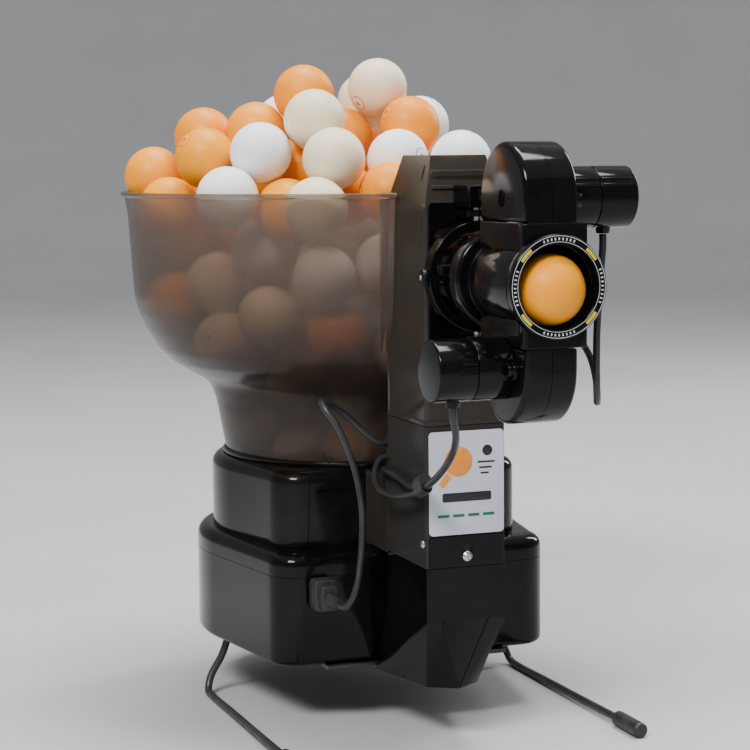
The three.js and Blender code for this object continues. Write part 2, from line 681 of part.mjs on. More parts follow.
// ---- gimbal: frame on the tower, ring that swings, drum that tilts ----
function addPivotFrame() {
  const y1 = TOWER_FRONT - GAP;
  const y0 = y1 - FRAME.thick;
  const plate = slabAlongY(roundedRect(-FRAME.half, FRAME.half, FRAME.low, FRAME.high, 2), y0, y1);
  const throatShape = roundedRect(
    -FRAME.throat, FRAME.throat, AXIS_Z - FRAME.throatHalf, AXIS_Z + FRAME.throatHalf, 6,
  );
  const throat = slabAlongY(throatShape, y0 - 5, y1 + 5);
  const lugs = [1, -1].map((side) => {
    const z = [AXIS_Z + side * LUG.near, AXIS_Z + side * LUG.far].sort((a, b) => a - b);
    const bar = box(-LUG.r, LUG.r, GIMBAL_Y, y0 + 1, z[0], z[1]);
    return join(bar, rod('z', LUG.r, z[0], z[1], 0, GIMBAL_Y, 16));
  });
  const bores = [1, -1].map((side) => {
    const z = [AXIS_Z + side * 30, AXIS_Z + side * 50].sort((a, b) => a - b);
    return rod('z', PIN_R + GAP, z[0], z[1], 0, GIMBAL_Y, 16);
  });
  add('pivot_frame', cut(join(cut(plate, throat), ...lugs), ...bores), glossBlack);
  const servoLow = AXIS_Z + LUG.far + GAP + 1;
  const servo = join(
    box(-SERVO.half, SERVO.half, GIMBAL_Y - SERVO.reach, y0 + 2, servoLow, servoLow + SERVO.height),
    box(-3, 3, GIMBAL_Y - SERVO.reach - 5, GIMBAL_Y, servoLow + 4, servoLow + 10),
  );
  const pinHole = rod('z', PIN_R + GAP, servoLow - 3, servoLow + 4, 0, GIMBAL_Y, 24);
  const earHole = rod('x', 2, -12, 12, GIMBAL_Y - SERVO.reach - 2.5, servoLow + 7, 14);
  const plateSide = box(-12, 12, y0 - GAP, 0, servoLow - 20, servoLow + 20);
  add('swing_servo', cut(servo, pinHole, earHole, plateSide), glossBlack);
}

function addGimbal() {
  const { r, bore, halfDepth } = GIMBAL;
  const ring = rod('y', r, GIMBAL_Y - halfDepth, GIMBAL_Y + halfDepth, 0, AXIS_Z, 28);
  const hole = rod('y', bore, GIMBAL_Y - 20, GIMBAL_Y + 20, 0, AXIS_Z, 28);
  const pinBores = [
    rod('z', PIN_R + GAP, AXIS_Z + 20, AXIS_Z + 40, 0, GIMBAL_Y, 16),
    rod('z', PIN_R + GAP, AXIS_Z - 40, AXIS_Z - 20, 0, GIMBAL_Y, 16),
    rod('x', PIN_R + GAP, -40, 40, GIMBAL_Y, AXIS_Z, 16),
  ];
  add('gimbal_ring', cut(ring, hole, ...pinBores), glossBlack);
  add('swing_pin_top', rod('z', PIN_R, AXIS_Z + 27.6, AXIS_Z + LUG.far + 4, 0, GIMBAL_Y, 16), steel);
  add('swing_pin_bottom', rod('z', PIN_R, AXIS_Z - LUG.far - 1, AXIS_Z - 27.6, 0, GIMBAL_Y, 16), steel);
}

function addDrum() {
  const profile = [
    [DRUM.bore, DRUM.front],
    [DRUM.r, DRUM.front],
    [DRUM.r, DRUM.back],
    [DRUM.bore, DRUM.back],
    [DRUM.bore, DRUM.front],
  ];
  const tube = turnedOnBarrel(profile, 28);
  const bosses = rod('x', DRUM.boss, -DRUM.bossEnd, DRUM.bossEnd, GIMBAL_Y, AXIS_Z, 16);
  const inside = rod('y', DRUM.bore, -110, -40, 0, AXIS_Z, 28);
  const pinBore = rod('x', PIN_R + GAP, -40, 40, GIMBAL_Y, AXIS_Z, 16);
  const pointer = box(-30.5, -23, -86, -77, AXIS_Z + 2, AXIS_Z + 8);
  add('tilt_drum', cut(join(tube, bosses, pointer), inside, pinBore), glossBlack);
  const { near, far, knob, knobNear, knobFar } = TILT_PIN;
  const shank = rod('x', PIN_R, near, far, GIMBAL_Y, AXIS_Z, 16);
  const pin = join(shank, rod('x', knob, knobNear, knobFar, GIMBAL_Y, AXIS_Z, 24));
  add('tilt_pin_right', pin, steel);
  add('tilt_pin_left', pin.mirror([1, 0, 0]), steel);
}

// ---- shooting head: everything in front of the drum turns about the barrel axis ----
function addCollarRing() {
  const { r, back, front, round } = COLLAR_RING;
  const profile = [
    [DRUM.r + GAP, back],
    [r - round, back],
    [r, back - round],
    [r, front + round],
    [r - round, front],
    [BARREL.r - 1.5, front],
    [BARREL.r - 1.5, DRUM.front - GAP],
    [DRUM.r + GAP, DRUM.front - GAP],
    [DRUM.r + GAP, back],
  ];
  const [notchLeft, notchRight] = COLLAR_RING.notch;
  const notchLow = AXIS_Z + COLLAR_RING.notchLow;
  const notch = box(notchLeft, notchRight, front - 2, back + 2, notchLow, AXIS_Z + r + 5);
  add('collar_ring', cut(turnedOnBarrel(profile.reverse(), 28), notch), glossBlack);
}

function addBarrel() {
  const ringBack = NOZZLE_FRONT + NOZZLE.depth;
  const tube = rod('y', BARREL.r, ringBack + GAP, BARREL.back, 0, AXIS_Z, 28);
  const bore = rod('y', BARREL.bore, NOZZLE_FRONT, BARREL.back + 10, 0, AXIS_Z, 28);
  const { half, reach } = WINDOW;
  const window = box(-half, half, WHEEL_Y - reach, WHEEL_Y + reach, AXIS_Z - 40, AXIS_Z + 40);
  add('barrel', cut(tube, bore, window), glossBlack);
  const ring = rod('y', NOZZLE.r, NOZZLE_FRONT, ringBack, 0, AXIS_Z, 28);
  const ringBore = rod('y', NOZZLE.bore, NOZZLE_FRONT - 5, ringBack + 5, 0, AXIS_Z, 28);
  add('nozzle_ring', cut(ring, ringBore), glossBlack);
}

// Side view of a wheel housing, in local (y, z) with the barrel axis at z = 0 and the wheel above it.
function domeShape(inset) {
  const r = HOUSING.r - inset;
  const low = SADDLE.far + GAP;
  const shape = new THREE.Shape();
  shape.moveTo(WHEEL_Y - r, low);
  shape.lineTo(WHEEL_Y + r, low);
  shape.lineTo(WHEEL_Y + r, WHEEL_OFFSET);
  shape.absarc(WHEEL_Y, WHEEL_OFFSET, r, 0, Math.PI);
  shape.lineTo(WHEEL_Y - r, low);
  return shape;
}

// One side of the head. up is +1 for the upper wheel, whose motor points to +X, and -1 for the lower
// wheel, whose motor points to -X. The lower side is the upper one turned half a turn about the barrel.
function addWheelSide(up) {
  const side = new THREE.Group();
  side.position.z = AXIS_Z;
  if (up < 0) side.rotation.y = Math.PI;
  machine.add(side);
  const prefix = up > 0 ? 'upper' : 'lower';
  const { half, wall } = HOUSING;

  // saddle: rests on the barrel, with a well that the wheel passes through
  const block = box(-SADDLE.half, SADDLE.half, SADDLE.front, SADDLE.back, SADDLE.near, SADDLE.far);
  const barrelCut = rod('y', BARREL.r + GAP, SADDLE.front - 10, SADDLE.back + 10, 0, 0, 28);
  const well = box(-WELL.half, WELL.half, WHEEL_Y - WELL.reach, WHEEL_Y + WELL.reach, 0, 60);
  const podCut = rod('x', POD.r + GAP, half - 2, half + 14, WHEEL_Y, WHEEL_OFFSET, 24);
  add(`${prefix}_saddle`, cut(block, barrelCut, well, podCut), glossBlack, side);

  // housing in two halves, split on the head's middle plane
  const hollow = slabAlongX(domeShape(wall), wall - half, half - wall);
  const shell = cut(slabAlongX(domeShape(0), -half, half), hollow);
  const floor = box(-half, half, WHEEL_Y - WHEEL_R, WHEEL_Y + WHEEL_R, SADDLE.far + GAP - 1, SADDLE.far + 4);
  const axleHole = rod('x', 5, -40, 40, WHEEL_Y, WHEEL_OFFSET, 20);
  const open = cut(shell, floor, axleHole);
  const left = box(-60, -GAP / 2, -260, 0, -100, 200);
  const right = box(GAP / 2, 60, -260, 0, -100, 200);
  add(`${prefix}_housing_left`, open.intersect(up > 0 ? left : right), glossBlack, side);
  add(`${prefix}_housing_right`, open.intersect(up > 0 ? right : left), glossBlack, side);

  // motor pod: a shell screwed to the housing, and its cap
  const start = half + GAP;
  const tube = rod('x', POD.r, start, POD.seam, WHEEL_Y, WHEEL_OFFSET, 24);
  const flange = join(
    box(start, start + 3, WHEEL_Y - 24, WHEEL_Y + 24, WHEEL_OFFSET - 5, WHEEL_OFFSET + 5),
    rod('x', 4.5, start, start + 9, WHEEL_Y + 19, WHEEL_OFFSET - 7, 14),
  );
  const tubeIn = rod('x', POD.r - POD.wall, start - 5, POD.seam + 5, WHEEL_Y, WHEEL_OFFSET, 24);
  add(`${prefix}_motor_housing`, cut(join(tube, flange), tubeIn), glossBlack, side);
  const glandZ = WHEEL_OFFSET - up * POD.r;
  const capTube = join(
    rod('z', POD.glandR, glandZ - 3, glandZ + 3, POD.gland, WHEEL_Y, 16),
    rod('x', POD.r, POD.seam + GAP, POD.end - 1, WHEEL_Y, WHEEL_OFFSET, 24),
    rod('x', POD.r, POD.end - 1, POD.end, WHEEL_Y, WHEEL_OFFSET, 24, POD.r - 1),
  );
  const capIn = rod('x', POD.r - POD.wall, POD.seam - 5, POD.end - POD.wall, WHEEL_Y, WHEEL_OFFSET, 24);
  add(`${prefix}_motor_cap`, cut(capTube, capIn), glossBlack, side);

  // motor can with its shaft, and the wheel that the shaft drives
  const can = rod('x', MOTOR.r, start + 1, start + 1 + MOTOR.length, WHEEL_Y, WHEEL_OFFSET, 20);
  const shaft = rod('x', MOTOR.shaft, start - 5, start + 2, WHEEL_Y, WHEEL_OFFSET, 12);
  add(`${prefix}_motor`, join(can, shaft), steel, side);
  const disc = cut(
    rod('x', HUB.r, -HUB.half, HUB.half, WHEEL_Y, WHEEL_OFFSET, 24),
    rod('x', HUB.recess, HUB.web, HUB.half + 5, WHEEL_Y, WHEEL_OFFSET, 16),
    rod('x', HUB.recess, -HUB.half - 5, -HUB.web, WHEEL_Y, WHEEL_OFFSET, 16),
  );
  const boss = rod('x', HUB.boss, -HUB.bossHalf, HUB.bossHalf, WHEEL_Y, WHEEL_OFFSET, 14);
  const shaftHole = rod('x', MOTOR.shaft + GAP, 0, 30, WHEEL_Y, WHEEL_OFFSET, 12);
  add(`${prefix}_wheel_hub`, cut(join(disc, boss), shaftHole), naturalPlastic, side);
  const tyreHalf = HUB.half + 0.5;
  const tyre = cut(
    rod('x', WHEEL_R, -tyreHalf, tyreHalf, WHEEL_Y, WHEEL_OFFSET, 28),
    rod('x', TYRE_IN, -20, 20, WHEEL_Y, WHEEL_OFFSET, 24),
  );
  add(`${prefix}_wheel_tyre`, tyre, wheelRubber, side);
}

function addServedBall() {
  const geometry = new THREE.SphereGeometry(BALL_R, 18, 10);
  geometry.rotateX(Math.PI / 2).translate(0, SERVED.y, SERVED.z);
  add('served_ball', solid(geometry), ballOrange);
}
// ---- plug and leads ----
function addLeads() {
  add('harness_lead', leadGeometry(HARNESS_ROUTE, LEAD_R, 22), rubber);
  add('lower_motor_lead', leadGeometry(LOWER_LEAD_ROUTE, LEAD_R, 18), rubber);
  add('branch_lead', leadGeometry(BRANCH_ROUTE, LEAD_R, 8), rubber);
  add('upper_motor_lead', leadGeometry(UPPER_LEAD_ROUTE, LEAD_R, 22), rubber);
}

function addPlug() {
  const { x, z } = SOCKET;
  const body = box(x - 7, x + 7, 24, 35.7, z - 10, z + 10);
  const step = box(x - 5, x + 5, 16, 25, z - 8, z + 8);
  const relief = rod('y', 3.4, 0.7, 17, x, z - 0.5, 16, 4.6);
  const pins = box(x - 3.5, x + 3.5, 35, 43, z - 4.5, z + 4.5);
  add('head_plug', join(body, step, relief, pins), rubber);
  add('lead_grommet', box(-22, 6, TOWER_BACK + GAP, 32, 127, 151), rubber);
}

// Sleeve that joins the branch to the lower motor's lead.
function addSplice() {
  const shape = new THREE.Shape();
  shape.absarc(0, 4.6, 4, 0, Math.PI);
  shape.absarc(0, 0, 4, Math.PI, 2 * Math.PI);
  const hole = new THREE.Path();
  hole.absarc(0, 0, LEAD_R + 0.5, 0, 2 * Math.PI);
  shape.holes.push(hole);
  const geometry = new THREE.ExtrudeGeometry(shape, {
    depth: SPLICE.length,
    bevelEnabled: false,
    curveSegments: 8,
  });
  geometry.translate(0, 0, -SPLICE.length / 2);
  const mesh = new THREE.Mesh(geometryOf(solid(geometry)), rubber);
  mesh.name = 'lead_splice';
  mesh.position.set(...SPLICE.at);
  const aim = new THREE.Vector3(...SPLICE.aim).add(mesh.position);
  mesh.up.set(0, 0, 1);
  mesh.lookAt(aim);
  machine.add(mesh);
}

addBase();
addCollar();
addDuct();
addHopper();
addBallLoad();
addFeed();
addElectronics();
addRods();
addFoot();
addPlate();
addTower();
addScrews();
addChannel();
addPivotFrame();
addGimbal();
addDrum();
addCollarRing();
addBarrel();
addWheelSide(1);
addWheelSide(-1);
addServedBall();
addPlug();
addLeads();
addSplice();

export default machine;
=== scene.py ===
"""Looks of the table-tennis ball machine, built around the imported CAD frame.

X is right, Y away from the shooting side, Z up, and Z = 0 the table top. to_object() turns a shape into
metres.
"""
import math

import bmesh
import bpy
import numpy as np
from mathutils import Matrix, Quaternion, Vector


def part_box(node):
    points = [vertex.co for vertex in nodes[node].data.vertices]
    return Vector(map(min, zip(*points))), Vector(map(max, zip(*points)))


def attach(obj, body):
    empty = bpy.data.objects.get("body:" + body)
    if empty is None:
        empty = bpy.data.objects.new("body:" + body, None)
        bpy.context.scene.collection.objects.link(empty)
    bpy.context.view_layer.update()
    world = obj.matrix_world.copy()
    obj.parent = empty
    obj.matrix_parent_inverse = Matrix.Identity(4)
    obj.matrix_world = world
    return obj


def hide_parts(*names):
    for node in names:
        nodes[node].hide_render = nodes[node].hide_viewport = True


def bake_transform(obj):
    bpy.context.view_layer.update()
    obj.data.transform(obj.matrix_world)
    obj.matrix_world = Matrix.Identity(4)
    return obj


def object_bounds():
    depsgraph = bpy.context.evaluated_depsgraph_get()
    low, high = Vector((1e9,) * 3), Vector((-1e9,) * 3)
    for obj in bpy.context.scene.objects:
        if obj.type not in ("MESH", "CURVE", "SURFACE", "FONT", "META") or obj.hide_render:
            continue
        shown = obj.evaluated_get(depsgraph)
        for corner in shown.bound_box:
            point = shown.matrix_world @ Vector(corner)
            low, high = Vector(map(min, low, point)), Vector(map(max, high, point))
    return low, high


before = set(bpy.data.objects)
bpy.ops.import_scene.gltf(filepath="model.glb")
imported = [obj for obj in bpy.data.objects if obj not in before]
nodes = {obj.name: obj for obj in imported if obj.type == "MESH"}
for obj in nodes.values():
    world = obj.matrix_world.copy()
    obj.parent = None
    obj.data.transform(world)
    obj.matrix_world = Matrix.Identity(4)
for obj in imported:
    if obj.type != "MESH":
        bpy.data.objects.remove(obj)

cad_low, cad_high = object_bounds()
MM = 0.001


def cad_box(node):
    low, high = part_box(node)
    return np.array(low) / MM, np.array(high) / MM


# ---- places taken from the frame ----
hopper_high = cad_box("hopper")[1]
cover_low, cover_high = cad_box("base_cover")
tray_low, tray_high = cad_box("base_tray")
collar_low, collar_high = cad_box("feed_collar")
tower_low, tower_high = cad_box("tower_upper_shell")
label_low, label_high = cad_box("label_plate")
nozzle_low, nozzle_high = cad_box("nozzle_ring")
barrel_low, barrel_high = cad_box("barrel")
plug_low, plug_high = cad_box("head_plug")
rod_low = cad_box("support_rod_left")[0]
ball_low, ball_high = cad_box("served_ball")
gimbal_low, gimbal_high = cad_box("gimbal_ring")
drum_low, drum_high = cad_box("tilt_drum")
tyre_low, tyre_high = cad_box("upper_wheel_tyre")
cap_high = cad_box("upper_motor_cap")[1]
pod_low, pod_high = cad_box("upper_motor_housing")
ring_low, ring_high = cad_box("collar_ring")

HOPPER_Y = hopper_high[1] - hopper_high[0]
AXIS_Z = (nozzle_low[2] + nozzle_high[2]) / 2
WHEEL_Y = (tyre_low[1] + tyre_high[1]) / 2
WHEEL_OFFSET = (tyre_low[2] + tyre_high[2]) / 2 - AXIS_Z
GIMBAL_Y = (gimbal_low[1] + gimbal_high[1]) / 2
TOWER_FRONT, TOWER_BACK = tower_low[1], tower_high[1]
TOWER_HALF = tower_high[0]
BALL_R = 20
LEAD_R = 2.1
SHELL = 2.5  # wall of the bowl and the base
GAP = 0.3  # clearance between neighbours
ROD_X, ROD_Y, ROD_SPREAD = 97, 143, 112  # where a rod enters the base, and how far out it lies below
INLET_X, CONTROL_X, SOCKET_Z = 24, -24, 40
PIPE_HALF = 21.5  # the balls' way out of the bowl
WINDOW_HALF, WINDOW_REACH = 11.5, 22  # where the wheels enter the barrel
BORE_R = 22.6
HOUSE_R = 31.5
SADDLE_FAR = 34
POD_R = 17.5


# ---- camera ----
CAMERA_AT = (-474.5, -1180.1, 330.9)
CAMERA_YAW, CAMERA_PITCH, CAMERA_ROLL = math.radians(20.18), math.radians(6.235), math.radians(-0.52)
CAMERA_LENS = 98.5


def make_camera():
    yaw, pitch, roll = CAMERA_YAW, CAMERA_PITCH, CAMERA_ROLL
    aim = Vector((math.sin(yaw) * math.cos(pitch), math.cos(yaw) * math.cos(pitch), -math.sin(pitch)))
    level = Vector((math.cos(yaw), -math.sin(yaw), 0))
    upright = level.cross(aim)
    right = math.cos(roll) * level + math.sin(roll) * upright
    up = math.cos(roll) * upright - math.sin(roll) * level
    camera = bpy.data.objects.new("camera", bpy.data.cameras.new("camera"))
    bpy.context.scene.collection.objects.link(camera)
    facing = Matrix((right, up, -aim)).transposed().to_4x4()
    camera.matrix_world = Matrix.Translation(Vector(CAMERA_AT) * MM) @ facing
    camera.data.lens = CAMERA_LENS
    camera.data.sensor_width = 36
    camera.data.clip_end = 200
    bpy.context.scene.camera = camera


make_camera()


# ---- shapes: each returns (vertices, faces) ----
def merge(*shapes):
    """Several closed shapes as one."""
    points, faces = [], []
    for verts, polys in shapes:
        base = len(points)
        points += [tuple(v) for v in verts]
        faces += [tuple(base + i for i in poly) for poly in polys]
    return points, faces


def loft(rings, closed=False):
    """Skin through rings of equal length, with a cap at both ends or, if closed, joined end to end."""
    rings = [np.asarray(r, float) for r in rings]
    count = len(rings[0])
    faces = []
    pairs = list(zip(range(len(rings)), range(1, len(rings))))
    if closed:
        pairs.append((len(rings) - 1, 0))
    for a, b in pairs:
        for i in range(count):
            j = (i + 1) % count
            faces.append((a * count + i, a * count + j, b * count + j, b * count + i))
    if not closed:
        faces.append(tuple(reversed(range(count))))
        faces.append(tuple((len(rings) - 1) * count + i for i in range(count)))
    return [tuple(p) for r in rings for p in r], faces


def fillet(points, radius, steps=5, closed=True):
    """A polyline with its corners rounded. radius is one number, or one per point."""
    pts = [np.array(p, float) for p in points]
    radii = [radius] * len(pts) if np.isscalar(radius) else list(radius)
    result = []
    for i, (p, r) in enumerate(zip(pts, radii)):
        ends = not closed and i in (0, len(pts) - 1)
        if r <= 0 or ends:
            result.append(p)
            continue
        a, b = pts[i - 1] - p, pts[(i + 1) % len(pts)] - p
        la, lb = np.linalg.norm(a), np.linalg.norm(b)
        a, b = a / la, b / lb
        half = math.acos(float(np.clip(a @ b, -1, 1))) / 2
        if half > math.pi / 2 - 0.01:
            result.append(p)
            continue
        reach = min(r / math.tan(half), la * 0.49, lb * 0.49)
        start, end = p + a * reach, p + b * reach
        centre = p + (a + b) / np.linalg.norm(a + b) * reach / math.cos(half)
        u, v = start - centre, end - centre
        turn = math.pi - 2 * half
        for k in range(steps + 1):
            t = k / steps * turn
            result.append(centre + (u * math.sin(turn - t) + v * math.sin(t)) / math.sin(turn))
    return result


def inset(outline, amount):
    """A convex anticlockwise 2D outline moved inwards by amount along its corners' bisectors."""
    pts = np.array(outline, float)
    before, after = np.roll(pts, 1, 0) - pts, np.roll(pts, -1, 0) - pts
    na = np.stack([-before[:, 1], before[:, 0]], 1) / np.linalg.norm(before, axis=1)[:, None]
    nb = np.stack([after[:, 1], -after[:, 0]], 1) / np.linalg.norm(after, axis=1)[:, None]
    normal = na + nb
    normal /= np.linalg.norm(normal, axis=1)[:, None]
    scale = 1 / np.clip((normal * na).sum(1), 0.4, 1)
    return pts - amount * normal * scale[:, None]


def area(outline):
    x, y = np.array(outline, float).T
    return float(np.sum(x * np.roll(y, -1) - y * np.roll(x, -1)) / 2)


def anticlockwise(outline):
    return outline if area(outline) > 0 else outline[::-1]


def level(outline, z):
    return np.column_stack([np.array(outline, float), np.full(len(outline), float(z))])


def edge_rings(outline, z, radius, direction, steps=4):
    """Rings that round an edge, from the flat face at z out to the full outline. direction is +1 upwards."""
    rings = []
    for k in range(steps + 1):
        t = k / steps * math.pi / 2
        height = z + direction * radius * (1 - math.cos(t))
        rings.append(level(inset(outline, radius * (1 - math.sin(t))), height))
    return rings


def prism(outline, z0, z1, low=0.4, high=0.4, steps=4):
    """A convex outline raised from z0 to z1 with rounded rims."""
    outline = anticlockwise(outline)
    bottom = edge_rings(outline, z0, low, 1, steps) if low else [level(outline, z0)]
    top = edge_rings(outline, z1, high, -1, steps)[::-1] if high else [level(outline, z1)]
    return loft(bottom + top)


def cup(outline, z_floor, z_rim, wall, round_floor, steps=5):
    """A tray: flat floor at z_floor, walls to z_rim, open there. It may stand either way up."""
    outline = anticlockwise(outline)
    up = 1 if z_rim > z_floor else -1
    outer = edge_rings(outline, z_floor, round_floor, up, steps) + [level(outline, z_rim)]
    thin = inset(outline, wall)
    inner_round = max(round_floor - wall, 0.5)
    inner = edge_rings(thin, z_floor + up * wall, inner_round, up, steps) + [level(thin, z_rim)]
    return loft(outer + inner[::-1])


def lathe(profile, segments=96, closed=False):
    """A profile of (radius, height) turned about Z. Ends on the axis become points."""
    angles = [2 * math.pi * k / segments for k in range(segments)]
    points, faces, rows = [], [], []
    for r, h in profile:
        if r < 1e-6:
            rows.append([len(points)])
            points.append((0.0, 0.0, float(h)))
        else:
            rows.append(list(range(len(points), len(points) + segments)))
            points += [(r * math.cos(a), r * math.sin(a), float(h)) for a in angles]
    pairs = list(zip(rows, rows[1:])) + ([(rows[-1], rows[0])] if closed else [])
    for a, b in pairs:
        for k in range(segments):
            n = (k + 1) % segments
            corners = (a[k % len(a)], a[n % len(a)], b[n % len(b)], b[k % len(b)])
            face = tuple(dict.fromkeys(corners))
            if len(face) > 2:
                faces.append(face)
    return points, faces


def moved(shape, x=0.0, y=0.0, z=0.0):
    return [(p[0] + x, p[1] + y, p[2] + z) for p in shape[0]], shape[1]


def along_x(shape):
    """The shape's Z axis becomes X, its X becomes Y and its Y becomes Z."""
    return [(z, x, y) for x, y, z in shape[0]], shape[1]


def along_y(shape):
    """The shape's Z axis becomes Y, its X stays and its Y becomes Z."""
    return [(x, z, y) for x, y, z in shape[0]], shape[1]


def half_turn(shape):
    """Turned half a turn about the barrel's own axis."""
    return [(-x, y, -z) for x, y, z in shape[0]], shape[1]


def barrel_ring(profile, segments=128):
    """A closed profile of (radius, Y) turned about the barrel's axis."""
    return moved(along_y(lathe(profile, segments, closed=True)), 0, 0, AXIS_Z)


def rounded_rect(x0, x1, y0, y1, r, steps=6):
    return fillet([(x0, y0), (x1, y0), (x1, y1), (x0, y1)], r, steps)


def block(x0, x1, y0, y1, z0, z1, corner=1.0, rim=0.5):
    """A box with rounded corners and rims."""
    return prism(rounded_rect(x0, x1, y0, y1, corner, 4), z0, z1, rim, rim, 3)


def sharp_box(x0, x1, y0, y1, z0, z1):
    return prism([(x0, y0), (x1, y0), (x1, y1), (x0, y1)], z0, z1, 0, 0)


def bar(axis, radius, a, b, c1, c2, rim=0.4, segments=48):
    """A round bar along an axis, with rounded rims, centred at c1, c2 on the other two axes."""
    profile = fillet([(0, a), (radius, a), (radius, b), (0, b)], [0, rim, rim, 0], 3, closed=False)
    shape = lathe(profile, segments)
    if axis == "x":
        return moved(along_x(shape), 0, c1, c2)
    if axis == "y":
        return moved(along_y(shape), c1, 0, c2)
    return moved(shape, c1, c2, 0)


# ---- Blender objects ----
def to_object(name, shape, sharp_deg=32):
    mesh = bpy.data.meshes.new(name)
    mesh.from_pydata([tuple(c * MM for c in p) for p in shape[0]], [], shape[1])
    thing = bpy.data.objects.new(name, mesh)
    bpy.context.scene.collection.objects.link(thing)
    clean(thing, sharp_deg)
    return thing


def clean(thing, sharp_deg=32):
    """Faces point out, and edges sharper than the angle stay crisp."""
    work = bmesh.new()
    work.from_mesh(thing.data)
    bmesh.ops.recalc_face_normals(work, faces=work.faces)
    limit = math.radians(sharp_deg)
    for face in work.faces:
        face.smooth = True
    for edge in work.edges:
        edge.smooth = len(edge.link_faces) == 2 and edge.calc_face_angle(0) < limit
    work.to_mesh(thing.data)
    work.free()


def bake_modifiers(thing):
    depsgraph = bpy.context.evaluated_depsgraph_get()
    mesh = bpy.data.meshes.new_from_object(thing.evaluated_get(depsgraph))
    thing.modifiers.clear()
    thing.data = mesh


def carve(thing, *tools, union=()):
    """Cuts closed shapes out of an object, after joining others to it."""
    for operation, shapes in (("UNION", union), ("DIFFERENCE", tools)):
        for shape in shapes:
            tool = to_object("tool", shape)
            modifier = thing.modifiers.new("carve", "BOOLEAN")
            modifier.operation = operation
            modifier.solver = "EXACT"
            modifier.object = tool
            bake_modifiers(thing)
            bpy.data.objects.remove(tool)
    clean(thing)


def finish_piece(thing, material, replaced=(), body="base_unit"):
    thing.data.materials.clear()
    thing.data.materials.append(material)
    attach(thing, body)
    if replaced:
        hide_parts(replaced)
    return thing


def piece(name, shape, material, replaced=(), body="base_unit", cuts=(), union=()):
    """One finished object. Shapes in union are joined to it first, then those in cuts are taken away."""
    thing = to_object(name, shape)
    if cuts or union:
        carve(thing, *cuts, union=union)
    return finish_piece(thing, material, replaced, body)


def keep_node(name, material, bevel, segments):
    """A CAD node that stays: welded, bevelled and smoothed by modifiers, with a material of its own."""
    thing = nodes[name]
    mesh = thing.data
    if "custom_normal" in mesh.attributes:
        mesh.attributes.remove(mesh.attributes["custom_normal"])
    mesh.materials.clear()
    mesh.materials.append(material)
    thing.modifiers.new("weld", "WELD").merge_threshold = 2e-6
    rim = thing.modifiers.new("rim", "BEVEL")
    rim.width = bevel * MM
    rim.segments = segments
    rim.limit_method = "ANGLE"
    rim.angle_limit = math.radians(34)
    rim.use_clamp_overlap = True
    for face in mesh.polygons:
        face.use_smooth = True
    thing.modifiers.new("smooth", "WEIGHTED_NORMAL").keep_sharp = True


# ---- materials ----
class Look:
    """A material's node tree with short helpers."""

    def __init__(self, name, **values):
        self.material = bpy.data.materials.new(name)
        self.material.use_nodes = True
        self.tree = self.material.node_tree
        self.shader = self.tree.nodes["Principled BSDF"]
        self.output = self.tree.nodes["Material Output"]
        for socket, value in values.items():
            self.shader.inputs[socket.replace("_", " ")].default_value = value

    def feed(self, socket, value):
        """Links another node's output to a socket, or sets the socket itself."""
        if hasattr(value, "is_output"):
            self.tree.links.new(value, socket)
        else:
            socket.default_value = value

    def add(self, kind, inputs=None, **settings):
        node = self.tree.nodes.new("ShaderNode" + kind)
        for key, value in settings.items():
            setattr(node, key, value)
        for key, value in (inputs or {}).items():
            self.feed(node.inputs[key], value)
        return node

    def link(self, source, socket):
        self.tree.links.new(source, self.shader.inputs[socket])

    def place(self, stretch=(1, 1, 1)):
        """Object coordinates in metres, stretched."""
        coordinates = self.add("TexCoord").outputs["Object"]
        return self.add("Mapping", {"Vector": coordinates, "Scale": stretch}).outputs["Vector"]

    def noise(self, scale, detail=3.0, roughness=0.55, stretch=(1, 1, 1)):
        inputs = {"Vector": self.place(stretch), "Scale": scale, "Detail": detail, "Roughness": roughness}
        return self.add("TexNoise", inputs).outputs["Fac"]

    def ramp(self, value, *stops):
        """Colour stops as (position, colour or grey)."""
        node = self.add("ValToRGB", {"Fac": value})
        elements = node.color_ramp.elements
        while len(elements) < len(stops):
            elements.new(0.5)
        for element, (position, colour) in zip(elements, stops):
            element.position = position
            element.color = (colour, colour, colour, 1) if np.isscalar(colour) else (*colour, 1)
        return node.outputs["Color"]

    def mix(self, factor, a, b):
        node = self.add("Mix", data_type="RGBA", blend_type="MIX")
        for index, value in ((0, factor), (6, a), (7, b)):
            self.feed(node.inputs[index], (*value, 1) if isinstance(value, tuple) else value)
        return node.outputs[2]

    def maths(self, operation, a, b=0.0):
        return self.add("Math", {0: a, 1: b}, operation=operation).outputs[0]

    def surface(self, tone, rough, bump, strength, distance=0.0002):
        """Colour, roughness and bump, each made by an earlier node."""
        self.link(tone, "Base Color")
        self.link(rough, "Roughness")
        self.bump(bump, strength, distance)
        return self.material

    def bump(self, height, strength, distance=0.0002):
        inputs = {"Height": height, "Strength": strength, "Distance": distance}
        self.link(self.add("Bump", inputs).outputs["Normal"], "Normal")


def gloss_plastic(name, dark, light, rough=(0.07, 0.2), streak=(1, 1, 1)):
    """Injection-moulded gloss plastic: faint flow marks, handling smudges, dust specks and orange peel."""
    look = Look(name, IOR=1.45, Specular_IOR_Level=0.22)
    smudge = look.noise(22, 4, 0.6, streak)
    dust = look.noise(2600, 2)
    speck = look.ramp(dust, (0.66, 0.0), (0.78, 1.0))
    colour = look.ramp(look.noise(60, 5, 0.6, streak), (0.3, dark), (0.75, light))
    tone = look.mix(speck, colour, tuple(min(1, c * 3 + 0.012) for c in light))
    rough = look.mix(speck, look.ramp(smudge, (0.35, rough[0]), (0.7, rough[1])), (0.45, 0.45, 0.45))
    peel = look.maths("ADD", look.noise(900, 2), look.maths("MULTIPLY", smudge, 0.5))
    return look.surface(tone, rough, peel, 0.05)


